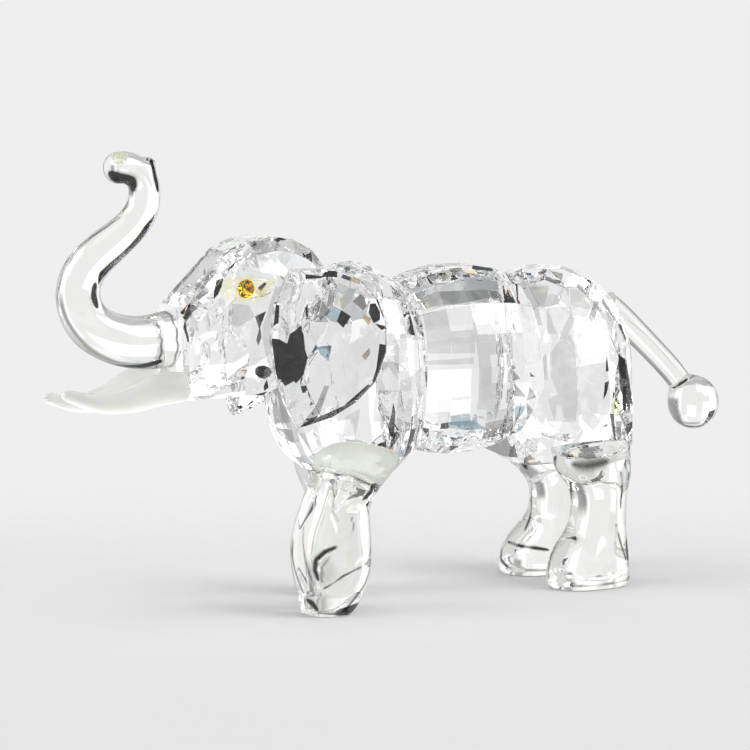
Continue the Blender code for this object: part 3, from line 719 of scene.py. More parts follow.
def vary_facets(bm, seed):
    """Gives each facet its own small tilt and its own shade."""
    dice = random.Random(seed)
    tilt = bm.faces.layers.float_vector.new("facet_tilt")
    shade = bm.faces.layers.float.new("facet_shade")
    for face in bm.faces:
        if face.smooth:
            continue
        face[tilt] = [dice.uniform(-0.5, 0.5) for _ in range(3)]
        face[shade] = dice.choice(SHADE_STEPS)


def bond_flats(bm):
    """Marks, on each ground flat, the area that a film of adhesive covers as material 1."""
    for face in largest_faces(bm, 12):
        normal = face.normal.copy()
        loops = []
        for outline, direction in FILM_OUTLINES:
            middle = sum(outline, Vector()) / len(outline)
            gap = (face.verts[0].co - middle).dot(normal)
            if abs(normal.dot(direction)) < PARALLEL or abs(gap) > ON_PLANE:
                continue
            points = [point + normal * (face.verts[0].co - point).dot(normal) for point in outline]
            if all(inside(point, face, normal) for point in points):
                loops.append(points)
        if not loops:
            continue
        edges = list(face.edges)
        bmesh.ops.delete(bm, geom=[face], context="FACES_ONLY")
        for points in loops:
            verts = [bm.verts.new(point) for point in points]
            covered = bm.faces.new(verts)
            covered.material_index = 1
            covered.smooth = False
            if covered.normal.dot(normal) < 0:
                covered.normal_flip()
            edges += covered.edges
        bmesh.ops.triangle_fill(bm, edges=edges, use_beauty=True, normal=normal)
    bmesh.ops.recalc_face_normals(bm, faces=bm.faces)


def finish_piece(name, bm, materials, node):
    """Makes the mesh one visible piece of its CAD node. Only the legs cast shadows."""
    mesh = bpy.data.meshes.new(name)
    bm.to_mesh(mesh)
    bm.free()
    for material in materials:
        mesh.materials.append(material)
    piece = bpy.data.objects.new(name, mesh)
    bpy.context.scene.collection.objects.link(piece)
    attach(piece, "root")
    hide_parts(node)
    piece.visible_shadow = node.endswith("leg")
    return piece


def cut_piece(node, materials, slots, edge_width=0.12):
    bm = smooth_head() if node == "head" else node_bmesh(node)
    polish_edges(bm, edge_width)
    vary_facets(bm, node)
    if node.endswith("_ear"):
        paint_ear_reflections(bm, -1 if node.startswith("left") else 1, slots)
    else:
        paint_flank_reflections(bm, node, slots)
    bond_flats(bm)
    return finish_piece("cut_" + node, bm, materials, node)


def unit_ball(segments, smooth=True):
    bm = bmesh.new()
    bmesh.ops.create_uvsphere(bm, u_segments=segments, v_segments=segments * 2 // 3, radius=1.0)
    for face in bm.faces:
        face.smooth = smooth
    return bm


def oval(centre, half, segments=96, smooth=True):
    """A ball stretched to three half sizes, as a layout."""
    bm = unit_ball(segments, smooth)
    for vertex in bm.verts:
        vertex.co = Vector([c + h * unit for c, h, unit in zip(centre, half, vertex.co)])
    return bm


def smooth_head():
    """The head, with its cheek dishes and eye recesses ground and polished round."""
    bm = node_bmesh("head")
    mesh = bpy.data.meshes.new("head_blank")
    bm.to_mesh(mesh)
    bm.free()
    blank = bpy.data.objects.new("head_blank", mesh)
    bpy.context.scene.collection.objects.link(blank)
    for side in (-1, 1):
        for centre, half in ((SCOOP_CENTRE, SCOOP_HALF), (RECESS_CENTRE, RECESS_HALF)):
            cutter = oval((centre.x, side * centre.y, centre.z), half)
            subtract(blank, to_metres(cutter), None)
    bm = bmesh.new()
    bm.from_mesh(blank.data)
    shaped = blank.data
    bpy.data.objects.remove(blank)
    bpy.data.meshes.remove(shaped)
    for face in bm.faces:
        face.material_index = 0
    return bm


EAR_TURN = math.radians(11)
EAR_FACE_CENTRE = Vector((-24.3, 23.2, 64.5))
RIGHT_EAR_DROP = 1.2
# Bearings, in degrees from the rear, between which the rim of an ear is painted dark, standing in
# for a dark reflection
PAINTED_DARK_RIM = (-112, 8)
# A facet takes a painted reflection when its normal is at least this much along the side that is
# painted
MARKED_FACING = 0.12
# Painted reflections in the face of an ear, standing in for the inner reflections that show there:
# the colour that is painted and its outlines, in millimetres to the rear of and above the middle of
# the face. Where outlines overlap, the later one covers the other.
EAR_PAINTED_REFLECTIONS = (
    ("dark", ((-6.0, 17.7), (-1.9, 17.1), (-1.3, 17.9), (-0.1, 18.3), (1.9, 18.1), (1.9, 16.7),
        (-1.3, 16.9), (-2.5, 16.6), (-5.9, 16.6))),
    ("dusk", ((-1.9, 15.5), (-0.8, 15.9), (-0.5, 15.0), (-1.3, 14.1), (-2.0, 14.7))),
    ("fire", ((3.3, 17.3), (7.8, 15.8), (7.5, 14.8), (2.8, 16.5))),
    ("pale", ((2.1, 15.5), (6.3, 13.5), (5.1, 10.8), (3.2, 9.2), (0.7, 10.5), (0.9, 13.4))),
    ("amber", ((7.5, 12.5), (10.1, 10.7), (8.2, 8.6), (5.6, 10.8))),
    ("dark", ((9.9, 10.1), (11.3, 10.2), (12.4, 8.0), (12.4, 6.2), (10.7, 5.5), (9.5, 8.1)),
        ((11.4, 11.0), (12.4, 11.2), (14.2, 7.0), (13.2, 6.8))),
    ("amber", ((8.4, 7.7), (10.2, 6.6), (9.5, 5.0), (8.1, 6.7))),
    ("teal", ((0.7, 10.1), (2.7, 9.0), (1.5, 6.1), (-0.1, 6.6), (-1.6, 8.3))),
    ("dark", ((2.7, 9.0), (5.1, 7.4), (3.1, 4.8), (1.5, 6.4))),
    ("dusk", ((-1.6, 8.0), (-0.4, 6.3), (-4.2, 6.5))),
    ("teal", ((-3.4, 0.7), (0.1, 0.8), (-0.7, -2.8), (-2.8, -1.1))),
    ("amber", ((9.6, -0.2), (9.8, -1.6), (8.5, -3.1), (7.6, -2.0))),
    ("dusk", ((-1.9, -8.5), (-0.7, -8.6), (-3.8, -16.4), (-6.4, -17.7))),
    ("dark", ((12.2, 0.6), (13.9, 0.2), (14.0, -3.0), (11.9, -8.2), (10.2, -8.3), (11.3, -5.3)),
        ((9.2, -8.8), (10.5, -9.9), (7.0, -13.2), (3.6, -15.2), (3.3, -13.2), (6.1, -11.1)),
        ((3.5, -13.3), (3.6, -15.2), (-1.3, -17.2), (-6.9, -18.8), (-5.9, -17.4), (-1.9, -15.2)),
        ((-13.5, 2.6), (-12.0, 2.5), (-10.5, 1.6), (-9.9, 3.9), (-7.7, 5.7), (-6.8, 3.8),
        (-6.5, 0.2), (-5.9, -1.8), (-7.0, -5.6), (-8.4, -7.9), (-8.8, -7.3), (-10.5, -8.7),
        (-11.4, -7.0), (-12.3, -7.7), (-13.1, -3.0), (-13.5, 0.2)), ((-12.7, 10.5), (-11.7, 10.4),
        (-12.0, 6.3), (-13.4, 5.2)), ((11.1, 5.4), (13.5, 4.8), (13.9, 4.1), (12.7, 3.8)),
        ((-6.2, 9.6), (-5.6, 10.8), (-5.6, 7.5), (-6.1, 7.9))),
)
# The same painted reflections on the flanks of the blocks and the head: the colour that is painted
# and its outlines, as (X, Z)
FLANK_PAINTED_REFLECTIONS = {
    "barrel": (
        ("mist", ((5.8, 72.9), (11.4, 74.9), (11.1, 71.5), (5.5, 70.0))),
        ("dusk", ((11.4, 74.7), (22.6, 74.7), (22.2, 72.7), (11.0, 71.6)), ((22.6, 74.7),
            (27.1, 73.9), (27.4, 72.4), (22.0, 72.7))),
        ("grey", ((5.6, 69.9), (11.3, 70.9), (10.6, 60.7), (4.9, 60.9)), ((10.9, 65.8),
            (17.1, 66.0), (16.6, 60.6), (10.8, 60.7)), ((17.8, 71.9), (22.5, 72.5), (21.9, 66.4),
            (25.7, 60.1), (20.6, 59.8), (21.1, 52.9), (27.1, 52.7), (29.2, 43.8), (21.7, 43.2),
            (20.8, 46.3), (17.9, 46.7), (16.9, 66.1), (17.7, 70.6))),
        ("dusk", ((21.6, 42.9), (29.2, 43.8), (31.1, 40.9), (31.7, 39.2), (23.2, 38.2),
            (22.0, 41.5))),
        ("teal", ((11.5, 43.7), (18.0, 43.9), (22.1, 41.3), (16.6, 41.4), (12.3, 42.2))),
        ("near_black", ((9.9, 43.4), (11.6, 43.7), (12.2, 42.0), (10.3, 41.9))),
        ("teal", ((11.4, 39.6), (17.8, 39.3), (14.7, 38.1), (11.7, 38.6))),
        ("dark", ((25.0, 79.5), (30.5, 78.4), (29.7, 77.9), (23.8, 78.8))),
        ("grey", ((20.3, 78.4), (28.8, 76.7), (27.5, 74.2), (17.7, 75.0))),
        ("mist", ((13.7, 78.5), (22.1, 79.6), (19.7, 78.4), (13.5, 76.6))),
        ("grey", ((4.9, 59.2), (16.1, 59.5), (16.2, 58.0), (4.9, 58.2))),
        ("near_black", ((5.7, 42.6), (7.8, 42.1), (8.8, 39.5))),
        ("dusk", ((27.2, 55.6), (29.6, 53.4), (27.1, 53.1))),
        ("near_black", ((32.3, 54.7), (34.4, 53.4), (32.9, 53.5))),
        ("dusk", ((27.8, 52.3), (31.9, 48.7), (28.4, 49.1)), ((32.7, 51.2), (35.8, 48.1),
            (32.6, 47.5))),
        ("teal", ((28.9, 46.8), (32.9, 46.0), (32.4, 44.2), (30.7, 42.2))),
        ("dusk", ((32.7, 47.3), (35.8, 44.7), (35.5, 41.1))),
    ),
    "hips": (
        ("mist", ((37.5, 74.0), (42.2, 74.3), (38.3, 69.9), (37.4, 69.7))),
        ("grey", ((39.0, 69.6), (45.1, 69.7), (44.0, 63.1), (43.7, 55.7), (44.3, 47.8),
            (43.7, 42.0), (38.7, 42.5), (37.1, 48.0), (39.2, 49.1), (37.5, 53.1), (37.6, 58.9),
            (41.0, 63.4), (37.6, 63.7))),
        ("mist", ((46.9, 74.0), (50.5, 72.4), (54.4, 67.6), (45.1, 69.8))),
        ("dusk", ((45.4, 74.1), (46.5, 73.7), (45.3, 71.6))),
        ("grey", ((43.8, 55.5), (52.8, 56.2), (53.4, 51.1), (53.4, 44.1), (48.6, 39.8),
            (45.6, 42.5), (44.5, 48.4))),
        ("dark", ((53.1, 57.4), (53.4, 53.8), (52.4, 53.7), (52.7, 56.2))),
        ("near_black", ((53.3, 51.4), (52.4, 48.4), (51.5, 47.0), (51.9, 51.2))),
        ("dark", ((57.0, 57.6), (60.0, 55.7), (60.4, 50.8), (58.2, 51.7), (56.8, 54.9)),
            ((59.0, 49.4), (60.7, 49.3), (60.4, 43.7), (59.4, 43.1), (58.5, 44.9)), ((54.7, 48.8),
            (55.5, 48.1), (54.5, 46.7))),
        ("moss", ((53.9, 45.8), (56.6, 47.3), (57.7, 44.4), (56.9, 42.2), (53.9, 43.7))),
        ("near_black", ((53.3, 43.5), (55.0, 43.2), (56.1, 35.7), (56.0, 34.9))),
        ("dusk", ((55.8, 41.3), (58.6, 40.9), (58.1, 38.2), (57.0, 35.6))),
        ("near_black", ((44.0, 36.6), (48.8, 33.9), (47.5, 33.8)), ((50.9, 37.3), (54.0, 36.0),
            (54.0, 34.6))),
        ("dusk", ((46.0, 77.1), (48.2, 76.5), (46.4, 75.3), (45.6, 75.8)), ((52.8, 75.0),
            (54.9, 74.4), (53.8, 73.9), (52.4, 74.4))),
        ("near_black", ((36.8, 74.9), (36.1, 73.4), (36.1, 71.1), (36.1, 70.8), (36.1, 73.3))),
        ("grey", ((54.8, 66.9), (58.0, 64.3), (54.0, 60.9), (56.7, 57.7), (56.8, 54.3),
            (53.7, 56.7)), ((36.1, 68.8), (37.1, 70.1), (37.1, 65.6), (36.1, 65.5)), ((36.1, 57.9),
            (36.9, 59.2), (36.9, 52.6), (36.1, 52.7), (36.1, 52.1))),
    ),
    "chest": (
        ("grey", ((-5.9, 65.3), (-3.9, 65.2), (-4.7, 57.1), (-5.7, 59.5)), ((-4.2, 55.4),
            (4.6, 58.5), (4.6, 46.8), (0.9, 37.0), (-4.2, 37.6), (-5.2, 47.9)), ((-2.7, 69.9),
            (1.2, 68.8), (-0.3, 65.1), (-3.9, 65.5)), ((1.4, 69.0), (4.6, 69.2), (4.6, 63.7),
            (-0.1, 64.8)), ((-1.6, 77.6), (4.6, 74.0), (2.9, 69.9), (-2.6, 70.9))),
        ("dusk", ((0.8, 53.3), (2.5, 51.0), (1.4, 48.7))),
        ("near_black", ((-5.9, 49.3), (-5.4, 47.9), (-6.4, 45.6), (-5.5, 42.5), (-5.7, 38.1),
            (-7.3, 44.6)), ((-6.0, 50.3), (-5.4, 47.9), (-5.9, 42.0), (-7.0, 42.1), (-6.5, 46.7))),
        ("teal", ((-25.8, 46.7), (-25.4, 46.8), (-25.3, 45.4), (-25.5, 45.3))),
        ("grey", ((-10.3, 52.3), (-6.5, 47.3), (-7.3, 45.6), (-10.9, 46.0)), ((-17.6, 47.5),
            (-14.0, 49.2), (-15.2, 42.7), (-18.4, 42.8))),
    ),
    "head": (
        ("near_black", ((-39.2, 72.1), (-36.4, 73.2), (-38.2, 69.5), (-38.0, 67.2), (-38.9, 65.2),
            (-39.4, 66.7), (-38.5, 69.2)), ((-35.3, 58.9), (-35.8, 57.8), (-37.0, 57.2),
            (-38.6, 57.7), (-39.7, 58.7), (-39.7, 59.8), (-38.9, 60.4), (-37.4, 60.5),
            (-35.9, 59.9))),
        ("dark", ((-46.6, 80.4), (-45.2, 81.1), (-46.0, 79.2), (-47.2, 77.3), (-48.3, 76.4),
            (-47.8, 78.4)), ((-43.7, 83.0), (-42.0, 84.4), (-42.5, 83.6), (-43.9, 82.5)),
            ((-40.7, 87.5), (-39.8, 87.8), (-41.6, 87.1)), ((-41.2, 87.3), (-39.7, 87.8),
            (-40.4, 87.3), (-41.7, 87.0))),
        ("grey", ((-36.0, 89.0), (-31.4, 88.9), (-31.4, 86.7), (-36.6, 86.8), (-36.6, 88.1)),
            ((-38.5, 86.3), (-33.8, 86.7), (-33.8, 84.8), (-39.5, 85.1)), ((-44.6, 75.3),
            (-40.5, 74.8), (-39.2, 72.1), (-43.7, 69.7), (-45.0, 70.4)), ((-37.6, 69.5),
            (-33.7, 78.8), (-32.2, 78.5), (-34.7, 65.8), (-33.4, 61.2), (-34.5, 57.4),
            (-36.4, 61.2), (-37.7, 66.5))),
        ("straw", ((-38.4, 77.5), (-35.1, 80.8), (-33.8, 79.7), (-37.0, 76.2))),
        ("near_black", ((-37.6, 78.5), (-35.9, 79.8), (-35.4, 79.4), (-36.8, 77.7))),
        ("amber", ((-32.0, 81.3), (-30.8, 80.5), (-31.3, 80.1), (-32.1, 80.6))),
        ("dark", ((-47.3, 82.3), (-46.2, 83.3), (-47.4, 82.2))),
        ("dusk", ((-46.5, 58.3), (-44.1, 55.6), (-44.5, 54.4), (-46.2, 56.6))),
        ("near_black", ((-38.6, 53.2), (-35.0, 53.9), (-35.8, 52.8))),
        ("dark", ((-34.9, 64.9), (-33.4, 62.4), (-33.8, 61.0), (-34.8, 64.0)), ((-36.3, 57.2),
            (-35.0, 54.9), (-35.9, 54.0), (-36.5, 55.3))),
        ("dusk", ((-43.0, 86.3), (-40.9, 87.4), (-42.5, 86.0), (-44.0, 85.3))),
        ("grey", ((-31.3, 86.6), (-27.4, 85.5), (-30.2, 83.2), (-31.5, 84.9))),
    ),
}


def imprint(bm, outline, facing, slot):
    """Splits the facets that look along facing, so that an outline becomes faces of its own."""
    bm.normal_update()
    size = max((point - outline[0]).length for point in outline) + 0.001
    middle = sum(outline, Vector()) / len(outline)

    def flat(vector):
        return vector - facing * vector.dot(facing)

    for start, end in zip(outline, outline[1:] + outline[:1]):
        faces = [
            face for face in bm.faces
            if face.normal.dot(facing) > MARKED_FACING and (
                any(flat(v.co - middle).length < size for v in face.verts)
                or surrounds([flat(v.co - middle) for v in face.verts], facing)
            )
        ]
        # A dict keeps its order, so that every run cuts in the same order
        geometry = dict.fromkeys(faces)
        for face in faces:
            geometry.update(dict.fromkeys((*face.edges, *face.verts)))
        bmesh.ops.bisect_plane(
            bm, geom=list(geometry), dist=1e-7, plane_co=start,
            plane_no=(end - start).cross(facing).normalized(),
        )
    bm.normal_update()
    for face in bm.faces:
        if face.normal.dot(facing) > MARKED_FACING:
            point = face.calc_center_median()
            if surrounds([flat(corner - point) for corner in outline], facing):
                face.material_index = slot


def paint_ear_reflections(bm, side, slots):
    """Paints the lower rear rim dark and the outlines of the ear's table of painted reflections
    with their colours, each with the slot of its colour.
    """
    rearward = Vector((math.cos(EAR_TURN), side * math.sin(EAR_TURN), 0))
    outward = Vector((-math.sin(EAR_TURN), side * math.cos(EAR_TURN), 0))
    centre = Vector((EAR_FACE_CENTRE.x - MIDDLE_X, side * EAR_FACE_CENTRE.y, EAR_FACE_CENTRE.z))
    if side > 0:
        centre.z -= RIGHT_EAR_DROP
    # Painted dark rim: the lower rear rim takes the darkest painted reflection
    for face in bm.faces:
        offset = face.calc_center_median() / MM - centre
        bearing = math.degrees(math.atan2(offset.z, offset.dot(rearward)))
        if face.normal.dot(outward) < 0.7 and PAINTED_DARK_RIM[0] < bearing < PAINTED_DARK_RIM[1]:
            face.material_index = slots["dark"]
    for painted_tone, *outlines in EAR_PAINTED_REFLECTIONS:
        for points in outlines:
            outline = [(centre + rearward * u + Vector((0, 0, v))) * MM for u, v in points]
            imprint(bm, outline, outward, slots[painted_tone])


def paint_flank_reflections(bm, node, slots):
    """Paints the outlines of the flank table of painted reflections on both sides of a block."""
    for side in (-1, 1):
        for painted_tone, *outlines in FLANK_PAINTED_REFLECTIONS.get(node, ()):
            for points in outlines:
                outline = [Vector((x - MIDDLE_X, 0, z)) * MM for x, z in points]
                imprint(bm, outline, Vector((0, side, 0)), slots[painted_tone])


def relief(bm, centre, radii, height):
    """Raises a soft oval spot along the surface normals."""
    bm.normal_update()
    moves = []
    for vertex in bm.verts:
        offset = vertex.co - Vector(centre)
        far = sum(abs(o / r) ** 2 for o, r in zip(offset, radii))
        if far < 6:
            moves.append((vertex, vertex.normal * height * math.exp(-far)))
    for vertex, move in moves:
        vertex.co += move


def path_distance(point, path):
    """Distance from a path of points, and how far along it the nearest place is, from 0 to 1."""
    nearest, along = 1e9, 0.0
    for index, (start, end) in enumerate(zip(path, path[1:])):
        start, end = Vector(start), Vector(end)
        span = end - start
        share = min(1.0, max(0.0, (point - start).dot(span) / span.length_squared))
        distance = (point - start - span * share).length
        if distance < nearest:
            nearest, along = distance, (index + share) / (len(path) - 1)
    return nearest, along


def groove(bm, path, width, depth):
    """Presses a soft line along a path of points into the surface."""
    bm.normal_update()
    moves = []
    for vertex in bm.verts:
        far = path_distance(vertex.co, path)[0] / width
        if far < 3:
            moves.append((vertex, vertex.normal * -depth * math.exp(-far * far)))
    for vertex, move in moves:
        vertex.co += move


def add_trunk(glass, pit, join):
    line = [(x, 0, z) for x, z in TRUNK_LINE]
    rod = swept_rod(line, TRUNK_RADII, steps=300, end_length=0.9)
    grind(rod, Vector((MUZZLE_X - FILM_SPACE, 0, 0)), Vector((1, 0, 0)))
    relief(rod, *TRUNK_SWELL)
    paint_dark_streaks(rod, "trunk")
    bond_flats(to_metres(rod))
    trunk = finish_piece("formed_trunk", rod, (glass, join, pit), "trunk")
    cutter = oval(NOSTRIL_CENTRE, NOSTRIL_HALF, segments=48, smooth=False)
    subtract(trunk, to_metres(cutter), pit)


def add_tail(glass, join):
    line = [(x, 0, z) for x, z in TAIL_LINE]
    rod = swept_rod(line, TAIL_RADII, steps=120)
    joint = TAIL_JOINT_POINT + TAIL_JOINT_NORMAL * FILM_SPACE
    grind(rod, joint, -TAIL_JOINT_NORMAL)
    paint_dark_streaks(rod, "tail")
    bond_flats(to_metres(rod))
    tail = finish_piece("formed_tail", rod, (glass, join), "tail")
    ball = unit_ball(96)
    size = (TAIL_BALL_RADIUS, TAIL_BALL_RADIUS, TAIL_BALL_RADIUS * TAIL_BALL_STRETCH)
    for vertex in ball.verts:
        nearness = max(0.0, vertex.co.dot(TAIL_BALL_NECK)) ** TAIL_NECK_POWER
        vertex.co = TAIL_BALL_CENTRE + Vector([c * h for c, h in zip(vertex.co, size)])
        vertex.co += TAIL_BALL_NECK * TAIL_BALL_RADIUS * TAIL_NECK_REACH * nearness
    subtract(tail, to_metres(ball), glass, "UNION")


def add_tusks(frosted, join):
    for side, hand, droop in ((-1, "left", 0.0), (1, "right", RIGHT_TUSK_DROOP)):
        reach = TUSK_LINE[0][0] - TUSK_LINE[-1][0]
        line = []
        for x, z in TUSK_LINE:
            share = (TUSK_LINE[0][0] - x) / reach
            y = TUSK_ROOT_Y + (TUSK_TIP_Y - TUSK_ROOT_Y) * share
            line.append((x, side * y, z - math.tan(droop) * reach * share))
        rod = swept_rod(line, TUSK_RADII, steps=160, end_length=1.9)
        grind(rod, Vector((MUZZLE_X - FILM_SPACE, 0, 0)), Vector((1, 0, 0)))
        bond_flats(to_metres(rod))
        node = hand + "_tusk"
        finish_piece("formed_" + node, rod, (frosted, join), node)


# Marks of the tongs in the legs: (path, width, depth) of grooves
LEG_GROOVES = {
    "left_front_leg": (
        (((-23.1, -12.8, 34.4), (-21.5, -18.9, 34.4), (-17.6, -20.5, 33.8), (-13.6, -20.1, 31.8),
            (-10.9, -19.3, 30.3), (-9.4, -18.4, 27.4)), 0.6, 1.0),
        (((-22.7, -17.6, 32.8), (-21.7, -18.3, 30.0), (-22.0, -18.1, 26.2), (-21.1, -18.2, 23.5)),
            0.7, 0.5),
        (((-16.0, -18.7, 28.1), (-19.5, -18.3, 26.4), (-20.6, -18.1, 24.4), (-19.6, -18.2, 20.4)),
            0.7, 0.5),
        (((-20.3, -18.2, 16.8), (-23.1, -18.3, 16.5), (-25.9, -17.5, 14.6)), 0.6, 0.6),
        (((-26.4, -12.1, 4.8), (-25.6, -16.4, 5.0), (-21.1, -18.0, 7.2), (-15.9, -18.6, 10.1),
            (-14.0, -18.4, 12.7), (-10.9, -17.4, 11.9)), 0.5, 0.8),
    ),
    "left_hind_leg": (
        (((46.4, -10.7, 27.0), (48.7, -14.1, 25.9), (52.8, -17.7, 25.6), (56.8, -17.2, 25.0),
            (60.0, -15.8, 24.0)), 0.7, 0.9),
        (((43.2, -13.1, 4.5), (45.6, -18.0, 3.8), (52.0, -19.3, 3.2), (58.6, -18.8, 3.5)), 0.4,
            0.5),
    ),
    "right_hind_leg": (
        (((46.4, 10.7, 27.0), (48.7, 14.1, 25.9), (52.8, 17.7, 25.6), (60.0, 15.8, 24.0)), 0.7,
            0.9),
        (((44.3, 10.5, 6.5), (45.7, 5.6, 6.0), (51.3, 3.9, 5.2), (58.0, 4.2, 4.8)), 0.4, 0.5),
    ),
    "right_front_leg": (
        (((-12.0, 7.0, 9.0), (-8.0, 5.2, 8.2), (-2.0, 5.2, 8.4)), 0.6, 0.6),
    ),
}


COLLAR_WAVE = 0.25
COLLAR_Z = 66.2


def collar_line(x, radius, waves):
    """A wavy ring round the trunk, where its glass creases against the muzzle: the path of a
    painted dark line that stands in for the shade of the crease.
    """
    return tuple(
        (
            x + COLLAR_WAVE * math.sin(waves * k),
            radius * math.cos(k / 5),
            COLLAR_Z + radius * math.sin(k / 5),
        )
        for k in range(32)
    )


# A streak's width at its ends, as a share of its width in the middle
STREAK_END = 0.55
# How far a streak fades out, in its own widths
STREAK_SPREAD = 1.3
